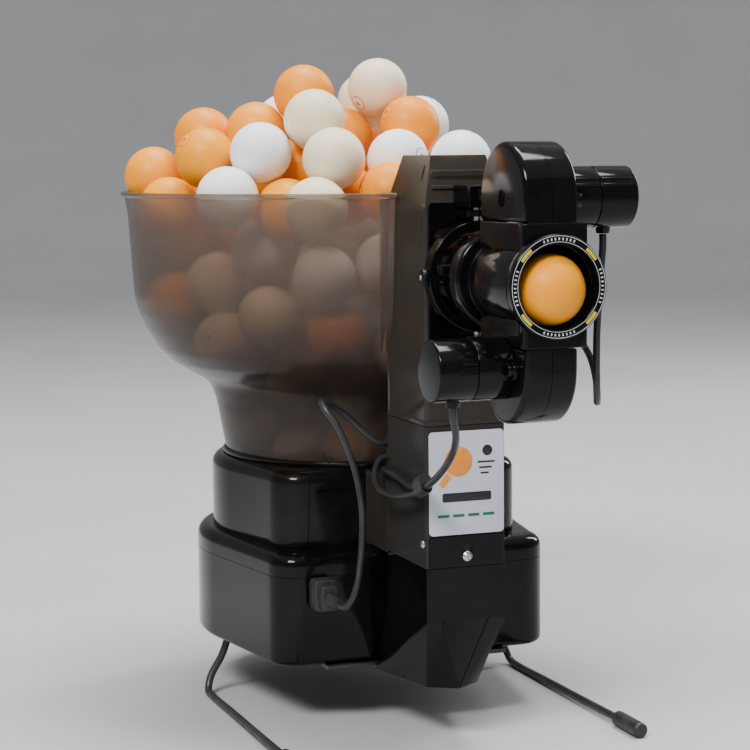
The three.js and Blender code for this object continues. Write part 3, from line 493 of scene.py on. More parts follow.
def smoky_plastic(name, tint, lamp_tint, rough, haze, haze_share, fade=None):
    """Tinted see-through plastic with a faint haze, that lamps shine through. fade gives two heights in metres:
    where the colour and haze start to darken towards the bottom, and where they are darkest."""
    look = Look(name, IOR=1.3, Transmission_Weight=0.9, Specular_IOR_Level=0.6)
    streaks = look.noise(30, 5, 0.6, (1, 1, 0.25))
    dust = look.ramp(look.noise(1700, 2), (0.64, 0.0), (0.8, 1.0))
    tone = look.ramp(streaks, (0.3, tuple(c * 0.93 for c in tint)), (0.7, tint))
    tone = look.mix(dust, tone, tuple(min(1, c * 1.25) for c in tint))
    veil_tone = (*haze, 1)
    if fade:
        height = look.add("SeparateXYZ", {"Vector": look.add("NewGeometry").outputs["Position"]}).outputs["Z"]
        span = {"Value": height, "From Min": fade[1], "From Max": fade[0]}
        # darker towards the bottom: below the first fade height the colour and haze blend to a darker tone,
        # darkest at the second
        height_blend = look.add("MapRange", span).outputs["Result"]
        tone = look.mix(height_blend, tuple(c * 0.34 for c in tint), tone)
        veil_tone = look.mix(height_blend, tuple(c * 0.35 for c in haze), haze)
    look.surface(tone, look.ramp(streaks, (0.3, rough[0]), (0.75, rough[1])), look.noise(45, 2), 0.05)
    veil = look.add("BsdfDiffuse", {"Color": veil_tone}).outputs[0]
    hazy = look.add("MixShader", {0: haze_share, 1: look.shader.outputs[0], 2: veil}).outputs[0]
    clear = look.add("BsdfTransparent", {"Color": (*lamp_tint, 1)}).outputs[0]
    shadow = look.add("LightPath").outputs["Is Shadow Ray"]
    look.feed(look.output.inputs["Surface"], look.add("MixShader", {0: shadow, 1: hazy, 2: clear}).outputs[0])
    return look.material


def rubber(name, dark, light, grain=1500, rough=(0.38, 0.6)):
    look = Look(name, IOR=1.48)
    tone = look.ramp(look.noise(80, 5), (0.3, dark), (0.75, light))
    dull = look.ramp(look.noise(45, 3), (0.3, rough[0]), (0.7, rough[1]))
    return look.surface(tone, dull, look.noise(grain, 3), 0.18)


def metal(name, colour, rough=(0.18, 0.36), stretch=(1, 1, 1)):
    look = Look(name, Metallic=1.0)
    fine = look.noise(900, 3, 0.6, stretch)
    tone = look.ramp(look.noise(70, 4), (0.3, tuple(c * 0.82 for c in colour)), (0.7, colour))
    return look.surface(tone, look.ramp(fine, (0.3, rough[0]), (0.7, rough[1])), fine, 0.12, 0.0001)


def painted_steel(name):
    """Black powder coat on steel, rubbed brighter in patches."""
    look = Look(name, IOR=1.5)
    tone = look.ramp(look.noise(40, 6, 0.7), (0.35, (0.012, 0.012, 0.013)), (0.8, (0.035, 0.036, 0.038)))
    rough = look.ramp(look.noise(60, 4), (0.3, 0.28), (0.7, 0.5))
    return look.surface(tone, rough, look.noise(1400, 3), 0.25)


def label_foil():
    """Silver foil laminate: fine brushing, cloudy sheen, under a clear film."""
    look = Look("label_foil", Metallic=0.2, Coat_Weight=0.5, Coat_Roughness=0.12)
    cloudy = look.noise(14, 3, 0.5, (1, 1, 0.4))
    brushed = look.noise(500, 3, 0.6, (1, 1, 0.03))
    tone = look.ramp(cloudy, (0.3, (0.52, 0.55, 0.62)), (0.75, (0.70, 0.73, 0.82)))
    tone = look.mix(look.ramp(brushed, (0.35, 0.0), (0.7, 0.25)), tone, (0.6, 0.61, 0.63))
    return look.surface(tone, look.ramp(brushed, (0.3, 0.3), (0.7, 0.48)), brushed, 0.05)


def ink(name, colour):
    """Printed ink: slightly uneven, slightly raised."""
    look = Look(name, IOR=1.45)
    tone = look.ramp(look.noise(220, 4), (0.3, tuple(c * 0.85 for c in colour)), (0.7, colour))
    rough = look.ramp(look.noise(300, 2), (0.3, 0.32), (0.7, 0.5))
    return look.surface(tone, rough, look.noise(1500, 2), 0.1)


def celluloid(name, light, deep, seed):
    """Table-tennis balls, each a little different: a fine joint, scuffs, and a small ring with a dot."""
    look = Look(name, IOR=1.45, Subsurface_Weight=0.2, Subsurface_Scale=0.003, Specular_IOR_Level=0.3)
    look.shader.inputs["Subsurface Radius"].default_value = (1.0, 0.5, 0.25)
    own = look.add("Attribute", attribute_name="ball_local").outputs["Vector"]
    part = look.add("SeparateXYZ", {"Vector": own})
    each = look.add("NewGeometry").outputs["Random Per Island"]
    shade = look.ramp(each, (0.0, deep), (1.0, light))
    scuff_inputs = {"Vector": own, "Scale": 90.0 + seed, "Detail": 5.0, "Roughness": 0.7}
    scuff = look.ramp(look.add("TexNoise", scuff_inputs).outputs["Fac"], (0.56, 0.0), (0.75, 0.35))
    shade = look.mix(scuff, shade, tuple(c * 0.82 for c in deep))
    x, y, z = part.outputs
    joint = look.maths("LESS_THAN", look.maths("ABSOLUTE", x), 0.00022)
    shade = look.mix(look.maths("MULTIPLY", joint, 0.18), shade, tuple(c * 0.6 for c in deep))
    away = look.maths("ADD", look.maths("POWER", x, 2.0), look.maths("POWER", y, 2.0))
    away = look.maths("SQRT", away)
    off_ring = look.maths("ABSOLUTE", look.maths("SUBTRACT", away, 0.0052))
    ring = look.maths("LESS_THAN", off_ring, 0.00035)
    mark = look.maths("MAXIMUM", ring, look.maths("LESS_THAN", away, 0.0016))
    one_side = look.maths("MULTIPLY", mark, look.maths("GREATER_THAN", z, 0.0))
    shade = look.mix(look.maths("MULTIPLY", one_side, 0.75), shade, (0.16, 0.10, 0.09))
    grain = look.add("TexNoise", {"Vector": own, "Scale": 1600.0, "Detail": 2.0}).outputs["Fac"]
    relief = look.maths("SUBTRACT", grain, look.maths("MULTIPLY", joint, 1.5))
    return look.surface(shade, look.ramp(scuff, (0.0, 0.42), (0.35, 0.6)), relief, 0.12)


def circuit_board():
    look = Look("circuit_board", IOR=1.5)
    tracks = look.noise(420, 1)
    tone = look.ramp(tracks, (0.45, (0.01, 0.09, 0.04)), (0.55, (0.02, 0.16, 0.07)))
    return look.surface(tone, look.ramp(look.noise(200, 2), (0.3, 0.3), (0.7, 0.5)), tracks, 0.3)


GLOSS = gloss_plastic("gloss_black", (0.0015, 0.0015, 0.002), (0.004, 0.004, 0.005), (0.06, 0.16))
TINTED_BLACK = gloss_plastic("smoky_black", (0.003, 0.0027, 0.0022), (0.009, 0.008, 0.0065), (0.07, 0.2))
SATIN_BLACK = gloss_plastic("satin_black", (0.004, 0.004, 0.005), (0.009, 0.009, 0.010), (0.25, 0.4))
BOWL = smoky_plastic("smoky_bowl", (0.52, 0.44, 0.38), (0.58, 0.50, 0.45), (0.14, 0.24),
                     (0.075, 0.060, 0.050), 0.28, (0.29, 0.17))
SMOKY = smoky_plastic("smoky_tower", (0.30, 0.26, 0.22), (0.30, 0.26, 0.22), (0.05, 0.12),
                      (0.02, 0.018, 0.015), 0.35)
SMOKY_LOW = smoky_plastic("smoky_tower_foot", (0.20, 0.18, 0.16), (0.2, 0.18, 0.16), (0.05, 0.12),
                          (0.030, 0.029, 0.026), 0.8)
RUBBER = rubber("black_rubber", (0.012, 0.012, 0.013), (0.03, 0.03, 0.031))
LEAD = rubber("lead_jacket", (0.012, 0.012, 0.014), (0.026, 0.026, 0.028), 900, (0.28, 0.45))
TYRE = rubber("wheel_rubber", (0.02, 0.02, 0.021), (0.05, 0.05, 0.052), 700, (0.6, 0.85))
STEEL = metal("bright_steel", (0.62, 0.62, 0.63))
CAN = metal("motor_can", (0.5, 0.5, 0.52), (0.25, 0.42), (1, 1, 6))
COATED = painted_steel("black_steel")
FOIL = label_foil()
BOARD = circuit_board()
INNER = gloss_plastic("dark_inner", (0.02, 0.019, 0.017), (0.045, 0.042, 0.037), (0.3, 0.5))
NATURAL = gloss_plastic("natural_plastic", (0.55, 0.51, 0.43), (0.68, 0.64, 0.55), (0.3, 0.45))
INK_ORANGE = ink("ink_orange", (0.85, 0.30, 0.03))
INK_DARK = ink("ink_dark", (0.015, 0.016, 0.02))
INK_GREEN = ink("ink_green", (0.02, 0.16, 0.09))
INK_YELLOW = ink("ink_yellow", (0.62, 0.50, 0.02))
INK_WHITE = ink("ink_white", (0.55, 0.57, 0.60))
BALL_ORANGE = celluloid("ball_orange", (0.95, 0.39, 0.0), (0.92, 0.27, 0.0), 0)
BALL_WHITE = celluloid("ball_white", (0.93, 0.93, 0.95), (0.86, 0.86, 0.89), 5)
BALL_CREAM = celluloid("ball_cream", (0.90, 0.79, 0.58), (0.82, 0.69, 0.47), 9)


# ---- leads ----
def between(a, b, ta, tb, t):
    """The point at t on the line that is at a when t is ta, and at b when t is tb."""
    return a * (tb - t) / (tb - ta) + b * (t - ta) / (tb - ta)


def smooth_route(points, per_span=10):
    """Points along a centripetal Catmull-Rom curve through the given ones."""
    pts = [np.array(p, float) for p in points]
    pts = [2 * pts[0] - pts[1]] + pts + [2 * pts[-1] - pts[-2]]
    result = []
    for i in range(1, len(pts) - 2):
        p0, p1, p2, p3 = pts[i - 1:i + 3]
        t0 = 0.0
        t1 = t0 + math.sqrt(np.linalg.norm(p1 - p0))
        t2 = t1 + math.sqrt(np.linalg.norm(p2 - p1))
        t3 = t2 + math.sqrt(np.linalg.norm(p3 - p2))
        for k in range(per_span):
            t = t1 + (t2 - t1) * k / per_span
            a1, a2, a3 = between(p0, p1, t0, t1, t), between(p1, p2, t1, t2, t), between(p2, p3, t2, t3, t)
            b1, b2 = between(a1, a2, t0, t2, t), between(a2, a3, t1, t3, t)
            result.append(between(b1, b2, t1, t2, t))
    return result + [pts[-2]]


def tube(path, radius, sides=20):
    """A round tube along a path, with its frame carried along without twist."""
    path = [np.array(p, float) for p in path]
    tangents = [path[min(i + 1, len(path) - 1)] - path[max(i - 1, 0)] for i in range(len(path))]
    tangents = [t / np.linalg.norm(t) for t in tangents]
    side = np.cross(tangents[0], (0.3, 0.2, 0.93))
    rings = []
    for point, tangent in zip(path, tangents):
        side = side - tangent * (side @ tangent)
        side = side / np.linalg.norm(side)
        other = np.cross(tangent, side)
        rings.append([
            point + radius * (math.cos(a) * side + math.sin(a) * other)
            for a in (2 * math.pi * k / sides for k in range(sides))
        ])
    return loft(rings)


HARNESS_ROUTE = [
    (-66, 0.3, 51.5), (-66, -5, 51.2), (-64.5, -9.5, 52), (-61.5, -12, 57), (-58, -12, 66),
    (-55, -9.5, 78), (-52.5, -6.5, 92), (-51, -3, 108), (-51.5, 1.5, 124), (-53.5, 6, 138),
    (-57, 10, 151), (-62, 14, 163), (-67, 19, 171.5), (-67, 25, 175.8), (-61, 29.5, 173.5),
    (-51, 32, 167), (-41, 32, 158), (-33, 29.5, 150.5), (-27.5, 28.2, 147.2), (-22.7, 28, 146.5),
]
LOWER_LEAD_ROUTE = [
    (-46, -138, 189.2), (-45.4, -137.5, 182.5), (-42.5, -134, 174), (-38.5, -123, 165), (-35.3, -107, 155),
    (-34.3, -89, 144), (-34.3, -63, 131.5), (-35, -39, 124), (-36.8, -17, 120.7), (-38.5, -1, 122),
    (-38, 9, 126.5), (-34.5, 17.5, 132.5), (-29, 23.5, 137), (-22.7, 24.5, 138.3),
]
BRANCH_ROUTE = [
    (-23, 24.2, 130.8), (-27.2, 22, 131), (-29.6, 13, 131.5), (-29.4, 0, 131),
    (-30.4, -18, 130), (-32.4, -36, 129), (-34, -48.2, 130.7), (-34.3, -56, 133.7),
]
UPPER_LEAD_ROUTE = [
    (46, -138, 283.2), (46, -138, 276), (45, -137.5, 262), (44, -137, 245), (43.4, -136, 225),
    (44, -134.5, 206), (46, -131, 193), (50, -123.5, 186), (54.5, -114.5, 189), (56.5, -108, 199),
    (55.5, -102, 211), (50, -97, 221), (40, -94.5, 224.5), (28, -94, 221), (18.5, -96, 216),
    (12.5, -100.5, 213.5), (11, -105.8, 213),
]


def free_lead(name, path, node, body=None):
    """A lead as a tube along a path. It rides on one body, or, when given none, stays fixed in the world."""
    lead = to_object(name, tube(path, LEAD_R))
    lead.data.materials.append(LEAD)
    if body:
        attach(lead, body)
    else:
        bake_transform(lead)
    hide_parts(node)


def make_leads():
    plug = make_plug()
    free_lead("harness_cable", smooth_route(HARNESS_ROUTE[::-1]), "harness_lead", "base_unit")
    free_lead("branch_cable", smooth_route(BRANCH_ROUTE), "branch_lead", "base_unit")
    free_lead("upper_motor_cable", smooth_route(UPPER_LEAD_ROUTE), "upper_motor_lead", "head")
    # the lower motor's cable crosses three joints, so it is four stretches that meet end to end
    route = smooth_route(LOWER_LEAD_ROUTE[::-1])
    marks = [0, 40, 80, 100, len(route) - 1]
    parts = [route[a:b + 1] for a, b in zip(marks, marks[1:])]
    free_lead("lower_cable_tower_end", parts[0], "lower_motor_lead", "base_unit")
    joins = [("base_unit", "gimbal"), ("gimbal", "drum"), ("drum", "head")]
    names = ["lower_cable_swing_part", "lower_cable_tilt_part", "lower_cable_head_end"]
    for name, part, pair in zip(names, parts[1:], joins):
        free_lead(name, part, "lower_motor_lead")


def make_plug():
    """The harness plug: a block with grips, a neck, a ribbed strain relief, and the part in the socket."""
    (x0, y0, z0), (x1, y1, z1) = plug_low, plug_high
    xc, zc = (x0 + x1) / 2, (z0 + z1) / 2
    step, back = 16, 24

    def slab(margin_x, margin_z, r, steps, *ends):
        outline = rounded_rect(x0 + margin_x, x1 - margin_x, z0 + margin_z, z1 - margin_z, r, steps)
        return along_y(prism(outline, *ends))

    body = slab(0, 0, 2, 5, back, 35.7, 0.9, 0.4)
    neck = slab(2, 2, 2, 5, step, back + 1, 0.7, 0.2)
    grips = [slab(-0.35, 3, 1, 3, y, y + 0.8, 0.25, 0.25, 2) for y in (26.5, 28.6, 30.7)]
    profile = [(0, y0)]
    for k in range(5):
        y = y0 + 0.2 + k * 3.1
        r = 3.3 + 0.28 * k
        profile += [(r, y), (r, y + 1.9), (r - 0.7, y + 2.2), (r - 0.7, y + 2.9)]
    profile += [(4.6, step + 0.2), (4.6, step + 1), (0, step + 1)]
    relief = moved(along_y(lathe(fillet(profile, 0.18, 2, closed=False), 32)), xc, 0, zc - 0.5)
    pins = along_y(prism(rounded_rect(xc - 3.5, xc + 3.5, zc - 4.5, zc + 4.5, 0.6, 3), 35, y1, 0.3, 0.3))
    return [piece("harness_plug", merge(body, neck, *grips, relief, pins), RUBBER, "head_plug")]


# ---- balls ----
# Balls that lie on top of the heap or against the front of the bowl: colour letter and centre.
PLACED_BALLS = [
    ("o", -132, 182, 315), ("o", -132, 147, 295), ("o", -101, 166, 341), ("o", -113, 120, 327),
    ("w", -111, 80, 302), ("o", -73, 137, 344), ("w", -84, 92, 330), ("w", -44, 165, 350),
    ("o", -44, 123, 368), ("c", -49, 87, 351), ("c", -47, 55, 326), ("c", 17, 170, 365),
    ("p", 11, 131, 373), ("o", -10, 141, 340), ("o", 23, 102, 347), ("w", 44, 137, 348),
    ("w", 4, 75, 325), ("o", -13, 45, 304), ("w", 43, 62, 324), ("o", 37, 99, 309),
    ("c", -65, 38, 295), ("o", -71, 78, 294), ("o", -51, 113, 320), ("o", -29, 82, 302),
    ("c", -115, 179, 277), ("w", -79, 107, 268), ("c", -104, 129, 245), ("w", -59, 40, 252),
    ("o", -124, 161, 231), ("c", -88, 67, 226), ("o", -47, 49, 214), ("w", -17, 42, 259),
    ("c", -106, 115, 207),
]
COLOUR_SHARES = {"o": 0.45, "w": 0.28, "c": 0.27}
BOWL_PROFILE = [
    (87, 79.5), (88.5, 124), (92, 143), (95.5, 163), (100, 174.8), (106.2, 179.3), (114, 183.7), (124.5, 190),
    (133.5, 198.5), (141.5, 211.8), (147.2, 223.6), (150, 234.5), (153.5, 290), (155.5, 301.5),
]
BALL_FLOOR = 103
HEAP_TOP, HEAP_FALL, HEAP_X, HEAP_Y, HEAP_SPREAD = 368, 62, 5, 160, 120
SEAT = 2 * BALL_R + 0.15
MOST_BALLS, TRIES = 220, 260
SCATTER_LOW, SCATTER_HIGH = (-135, 20), (135, 290)


def heap_limit(x, y):
    """How high a loose ball's centre may lie: a mound, kept lower in front, where the placed balls lie."""
    away = math.hypot(x - HEAP_X, y - HEAP_Y) / HEAP_SPREAD
    top = HEAP_TOP - HEAP_FALL * away ** 1.6
    return top if y > HEAP_Y else min(top, 300) - 0.45 * (HEAP_Y - y)


def wall_floor():
    """For each distance from the bowl's axis, the lowest centre height that keeps a ball off the wall."""
    profile = np.array([(r - SHELL, z) for r, z in BOWL_PROFILE])
    start, step = profile[:-1], np.diff(profile, axis=0)
    away = np.arange(0, 140, 1.0)
    heights = np.arange(BALL_FLOOR, 330, 1.0)
    grid = np.stack(np.meshgrid(away, heights, indexing="ij"), -1)[:, :, None, :]
    share = np.clip(((grid - start) * step).sum(-1) / (step ** 2).sum(-1), 0, 1)
    gap = np.linalg.norm(grid - start - share[..., None] * step, axis=-1).min(-1)
    outside = grid[:, :, 0, 0] > np.interp(heights, profile[:, 1], profile[:, 0])[None, :]
    blocked = (gap < BALL_R + 0.3) | outside
    last = len(heights) - 1 - np.argmax(blocked[:, ::-1], axis=1)
    floor = np.where(blocked.any(1), heights[np.minimum(last + 1, len(heights) - 1)], BALL_FLOOR)
    return away, floor


def lowest_rest(x, y, balls, away, floor):
    """The lowest centre height at which a ball at x, y touches nothing."""
    z = float(np.interp(math.hypot(x, y - HOPPER_Y), away, floor))
    near = (balls[:, 0] - x) ** 2 + (balls[:, 1] - y) ** 2
    close = balls[near < SEAT ** 2]
    rise = np.sqrt(SEAT ** 2 - near[near < SEAT ** 2])
    for low, high in sorted(zip(close[:, 2] - rise, close[:, 2] + rise)):
        if low < z < high:
            z = high
    return z


def off_the_wall(ball, away, floor):
    """A placed ball moved towards the axis until the bowl's wall leaves it room."""
    x, y, z = ball
    while math.hypot(x, y - HOPPER_Y) > 5 and np.interp(math.hypot(x, y - HOPPER_Y), away, floor) > z:
        x, y = x * 0.99, HOPPER_Y + (y - HOPPER_Y) * 0.99
    return x, y, z


def fill_bowl():
    """Adds balls one by one, each at the lowest free place found, until the mound is full."""
    rng = np.random.default_rng(7)
    away, floor = wall_floor()
    balls = np.array([off_the_wall(p[1:], away, floor) for p in PLACED_BALLS], float)
    letters = [p[0] for p in PLACED_BALLS]
    keep_off = TOWER_HALF + SHELL + BALL_R + 0.5
    while len(balls) < MOST_BALLS:
        best = None
        for x, y in rng.uniform(SCATTER_LOW, SCATTER_HIGH, (TRIES, 2)):
            z = lowest_rest(x, y, balls, away, floor)
            in_recess = z > 140 and abs(x) < keep_off and y < TOWER_BACK + SHELL + BALL_R + 1
            if z <= heap_limit(x, y) and not in_recess and (best is None or z < best[2]):
                best = (x, y, z)
        if best is None:
            break
        balls = np.vstack([balls, best])
        letters.append(rng.choice(list(COLOUR_SHARES), p=list(COLOUR_SHARES.values())))
    return letters, balls


def ball_piece(name, centres, material, seed, replaced, body="base_unit"):
    """Balls as one mesh of closed bodies. Each has its own turn, kept in an attribute for the material."""
    rng = np.random.default_rng(seed)
    angles = (-math.pi / 2 + math.pi * k / 16 for k in range(1, 16))
    unit, faces = lathe([(0, -1)] + [(math.cos(a), math.sin(a)) for a in angles] + [(0, 1)], 32)
    local = np.array(unit) * BALL_R
    points, polys, own = [], [], []
    for centre in centres:
        turn = rng.normal(size=4)
        spin = np.array(Quaternion(turn / np.linalg.norm(turn)).to_matrix())
        polys += [tuple(len(points) + i for i in poly) for poly in faces]
        points += [tuple(p) for p in local @ spin.T + np.array(centre)]
        own += [tuple(p * MM) for p in local]
    thing = to_object(name, (points, polys))
    attribute = thing.data.attributes.new("ball_local", "FLOAT_VECTOR", "POINT")
    attribute.data.foreach_set("vector", np.array(own, np.float32).ravel())
    finish_piece(thing, material, replaced, body)


def make_balls():
    letters, balls = fill_bowl()
    looks = (("o", "balls_orange", BALL_ORANGE), ("w", "balls_white", BALL_WHITE),
             ("cp", "balls_cream", BALL_CREAM))
    for seed, (wanted, name, material) in enumerate(looks, 11):
        centres = [b for own, b in zip(letters, balls) if own in wanted]
        ball_piece(name, centres, material, seed, "ball_load")
    ball_piece("ball_in_play", [(ball_low + ball_high) / 2], BALL_ORANGE, 4, "served_ball", "ball_in_nozzle")


# ---- hopper ----
def make_hopper():
    """The bowl: soft shoulders, a rolled lip and a recess for the tower. A ring seals it to the collar."""
    soft = [20] * (len(BOWL_PROFILE) - 2)
    outer = fillet([(0, 79.5)] + BOWL_PROFILE + [(158, 302.6), (158, 305), (0, 305)],
                   [0, 0.5] + soft + [1.5, 1.1, 1.1, 0], 4, closed=False)
    inside = [(0, 70), (84.5, 70)] + [(r - SHELL, z) for r, z in BOWL_PROFILE[1:]] + [(153, 320), (0, 320)]
    inside = fillet(inside, [0, 0] + soft + [0, 0, 0], 4, closed=False)
    core = to_object("core", moved(lathe(inside, 160), 0, HOPPER_Y))
    wall = TOWER_HALF + GAP
    carve(core, sharp_box(-wall - SHELL, wall + SHELL, -60, TOWER_BACK + GAP + SHELL, 140, 410))
    room = [tuple(v.co / MM) for v in core.data.vertices], [tuple(p.vertices) for p in core.data.polygons]
    bpy.data.objects.remove(core)
    recess = sharp_box(-wall, wall, -60, TOWER_BACK + GAP, 150, 400)
    way_out = sharp_box(-PIPE_HALF, PIPE_HALF, 40, 90, 70, 119)
    piece("hopper_bowl", moved(lathe(outer, 160), 0, HOPPER_Y), BOWL, "hopper", cuts=(recess, room, way_out))
    ring = fillet([(89.2, 126.2), (91.6, 126.2), (91.6, 128.4), (89.9, 129.8)], 0.5, 3)
    piece("hopper_seat_ring", moved(lathe(ring, 128, closed=True), 0, HOPPER_Y), TINTED_BLACK)


# ---- base and collar ----
def plan_outline(front, half, corner, radius):
    """Flat front, round corners, and sides that run tangent to a round back about the hopper's axis."""
    def arc(x, y, r, start, end, steps):
        turn = [start + (end - start) * k / steps for k in range(steps + 1)]
        return [(x + r * math.cos(a), y + r * math.sin(a)) for a in turn]

    dy = front + corner - HOPPER_Y
    tangent = math.atan2(dy, half) + math.acos(radius / math.hypot(half, dy))
    right = arc(half - corner, front + corner, corner, -math.pi / 2, 0, 10)
    back = arc(0, HOPPER_Y, radius, tangent, math.pi - tangent, 72)
    return right + back + arc(corner - half, front + corner, corner, math.pi, 1.5 * math.pi, 10)


def make_base():
    plan = plan_outline(tray_low[1], 95, 20, tray_high[1] - HOPPER_Y)
    sides = (-1, 1)
    cuts = [bar("z", 2.9, -5, 26, side * ROD_X, ROD_Y, 0, 24) for side in sides]
    cuts += [bar("y", r, 250, 275, x, SOCKET_Z, 0, 40) for r, x in ((6.3, INLET_X), (7.3, CONTROL_X))]
    cuts.append(sharp_box(-73.5, -58.5, 30, 45, 43.5, 60.5))
    sleeves = [bar("z", 5, tray_low[2] + 1, 30, side * ROD_X, ROD_Y, 0.3, 32) for side in sides]
    piece("base_tray_shell", cup(plan, tray_low[2], tray_high[2], SHELL, 4), GLOSS, "base_tray", cuts=cuts,
          union=sleeves)
    piece("base_cover_shell", cup(plan, cover_high[2], cover_low[2], SHELL, 8, 8), GLOSS, "base_cover",
          cuts=[bar("z", 5, 60, 90, 0, HOPPER_Y, 0, 40)])
    pads = [bar("z", 9, 1.2, tray_low[2] + 0.3, side * 70, y, 1.0, 40) for side in sides for y in (80, 220)]
    piece("base_pads", merge(*pads), RUBBER)


def make_collar():
    front, top = collar_low[1], collar_high[2]
    plan = plan_outline(front, 86, 22, collar_high[1] - HOPPER_Y)
    neck = bar("z", 89.5, 60, 140, 0, HOPPER_Y, 0, 128)
    exit_way = sharp_box(-24, 24, 50, 70, 0, 122)
    groove = sharp_box(-60, 60, front - 1, front + 0.7, top - 13.8, top - 12.6)
    piece("collar_shell", cup(plan, top, collar_low[2], SHELL, 8, 8), TINTED_BLACK, "feed_collar",
          cuts=(neck, exit_way, groove))


# ---- tower ----
def make_tower():
    inside = TOWER_FRONT + 2.4
    slats = [block(-20, 20, inside, inside + 1.6, z, z + 2.2, 0.4, 0.3) for z in (291, 299, 308, 317)]
    piece("tower_front_ribs", merge(*slats), INNER)
    seam = tower_low[2]
    lip = rounded_rect(-TOWER_HALF - 0.7, TOWER_HALF + 0.7, TOWER_FRONT - 0.7, TOWER_BACK + 0.05, 2.8)
    hole = sharp_box(-TOWER_HALF, TOWER_HALF, TOWER_FRONT, TOWER_BACK + 5, seam - 5, seam + 9)
    piece("tower_seam_lip", prism(lip, seam + 0.2, seam + 3.4, 0.5, 0.5), SMOKY, cuts=[hole])
    creases = [tube([(side * 15.2, TOWER_FRONT - 0.1, 47), (side * 1.7, -33.1, 0.8)], 0.65, 12)
               for side in (-1, 1)]
    middle = tube([(0, -34.1, 4), (0, -33.2, 0.8)], 0.4, 12)
    piece("foot_creases", merge(*creases, middle), GLOSS)


def arc_bar(radius_in, radius_out, start, end, y0, y1, steps=12):
    """A curved bar about the barrel's axis, from angle start to end in degrees, between two Y planes."""
    rings = []
    for k in range(steps + 1):
        a = math.radians(start + (end - start) * k / steps)
        section = ((radius_in, y1), (radius_in, y0), (radius_out, y0), (radius_out, y1))
        rings.append([(r * math.cos(a), y, AXIS_Z + r * math.sin(a)) for r, y in section])
    return loft(rings)


PRINT, SUNK = -0.18, 0.1  # how far the label's print stands off the plate, and how far it reaches in


def make_label_art():
    """A plain picture: a bat, a ball with three lines, a bar and a row of dashes."""
    x, y, top = (label_low[0] + label_high[0]) / 2, label_low[1], label_high[2]

    def printed(outline):
        return moved(along_y(prism(outline, PRINT, SUNK, 0.06, 0)), 0, y)

    def stripe(x0, x1, z0, z1, r, steps):
        return printed(rounded_rect(x + x0, x + x1, top + z0, top + z1, r, steps))

    def disc(r, dx, dz):
        profile = fillet([(0, PRINT), (r, PRINT), (r, SUNK), (0, SUNK)], [0, 0.08, 0, 0], 2, closed=False)
        return moved(along_y(lathe(profile, 64)), x + dx, y, top + dz)

    c, s = math.cos(math.radians(38)), math.sin(math.radians(38))
    handle = [(-2.0, -7), (2.0, -7), (2.3, 1.6), (-2.3, 1.6)]
    handle = [(x - 12.6 + px * c + pz * s, top - 27.8 - px * s + pz * c) for px, pz in handle]
    piece("label_bat", merge(disc(9.2, -5.5, -18.5), printed(fillet(handle, 0.8, 4))), INK_ORANGE)
    lines = [stripe(7 + k, 18.5 - 2 * k, -20 - 3.4 * k, -18.9 - 3.4 * k, 0.5, 3) for k in range(3)]
    piece("label_ball_lines", merge(disc(3.3, 13.5, -12.5), *lines), INK_DARK)
    piece("label_bar", stripe(-16, 16, -43, -37.5, 1.2, 4), INK_DARK)
    dashes = [stripe(-19 + 9.8 * k, -11.4 + 9.8 * k, -52.4, -50.6, 0.6, 3) for k in range(4)]
    piece("label_dashes", merge(*dashes), INK_GREEN)


def make_fasteners():
    """Pan-head screws with a cross recess: one faces -Y, the other -X."""
    for name, node, turn, axis, radius in (("panel_cross_screw", "panel_screw", along_y, 1, 3.2),
                                           ("side_cross_screw", "side_screw", along_x, 0, 2.8)):
        low, high = cad_box(node)
        place = (low + high) / 2
        place[axis] = low[axis] + 1.9
        head = [(0, -1.9), (radius * 0.55, -1.9), (radius, -0.7), (radius, 0), (1.5, 0), (1.5, 5), (0, 5)]
        head = fillet(head, [0, 0.9, 0.6, 0.1, 0, 0.3, 0], 5, closed=False)
        long, thin = radius * 0.62, 0.42
        cross = [sharp_box(-a, a, -b, b, -3, -0.9) for a, b in ((long, thin), (thin, long))]
        screw, *slots = [moved(turn(shape), *place) for shape in (lathe(head, 48), *cross)]
        piece(name, screw, STEEL, node, cuts=slots)


# ---- support rods ----
def make_rods():
    tip_low, tip_high = cad_box("rod_tip_right")
    low = rod_low[2] + 2.5
    tip_z = (tip_low[2] + tip_high[2]) / 2
    y0, y1 = tip_low[1], tip_high[1]
    for side, name in ((-1, "left"), (1, "right")):
        x, far = side * ROD_X, side * ROD_SPREAD
        route = [(x, ROD_Y, 25), (x, ROD_Y, 12), (x, ROD_Y, 3), (x + side * 4, 144, -10),
                 (far - side * 3, 144, -24), (far, 140, low + 1.5), (far, 129, low), (far, 83, low + 0.6),
                 (far, 10, low + 1.5), (far, -50, tip_z)]
        piece(f"support_rod_{name}_bar", tube(smooth_route(route, 8), 2.5, 24), COATED, f"support_rod_{name}")
        profile = [(0, y0), (5, y0), (5, y1), (3.4, y1), (3.4, y1 - 20), (0, y1 - 20)]
        cap = lathe(fillet(profile, [0, 2.2, 0.8, 0.4, 0, 0], 5, closed=False), 48)
        piece(f"rod_tip_{name}_cap", moved(along_y(cap), far, 0, tip_z), RUBBER, f"rod_tip_{name}")


# ---- head ----
def dome_outline(steps=40):
    """Side view of a wheel housing in (y, z), the barrel axis at z = 0."""
    low = SADDLE_FAR + GAP
    angles = (math.pi * k / steps for k in range(steps + 1))
    dome = [(WHEEL_Y + HOUSE_R * math.cos(a), WHEEL_OFFSET + HOUSE_R * math.sin(a)) for a in angles]
    return [(WHEEL_Y - HOUSE_R, low), (WHEEL_Y + HOUSE_R, low)] + dome


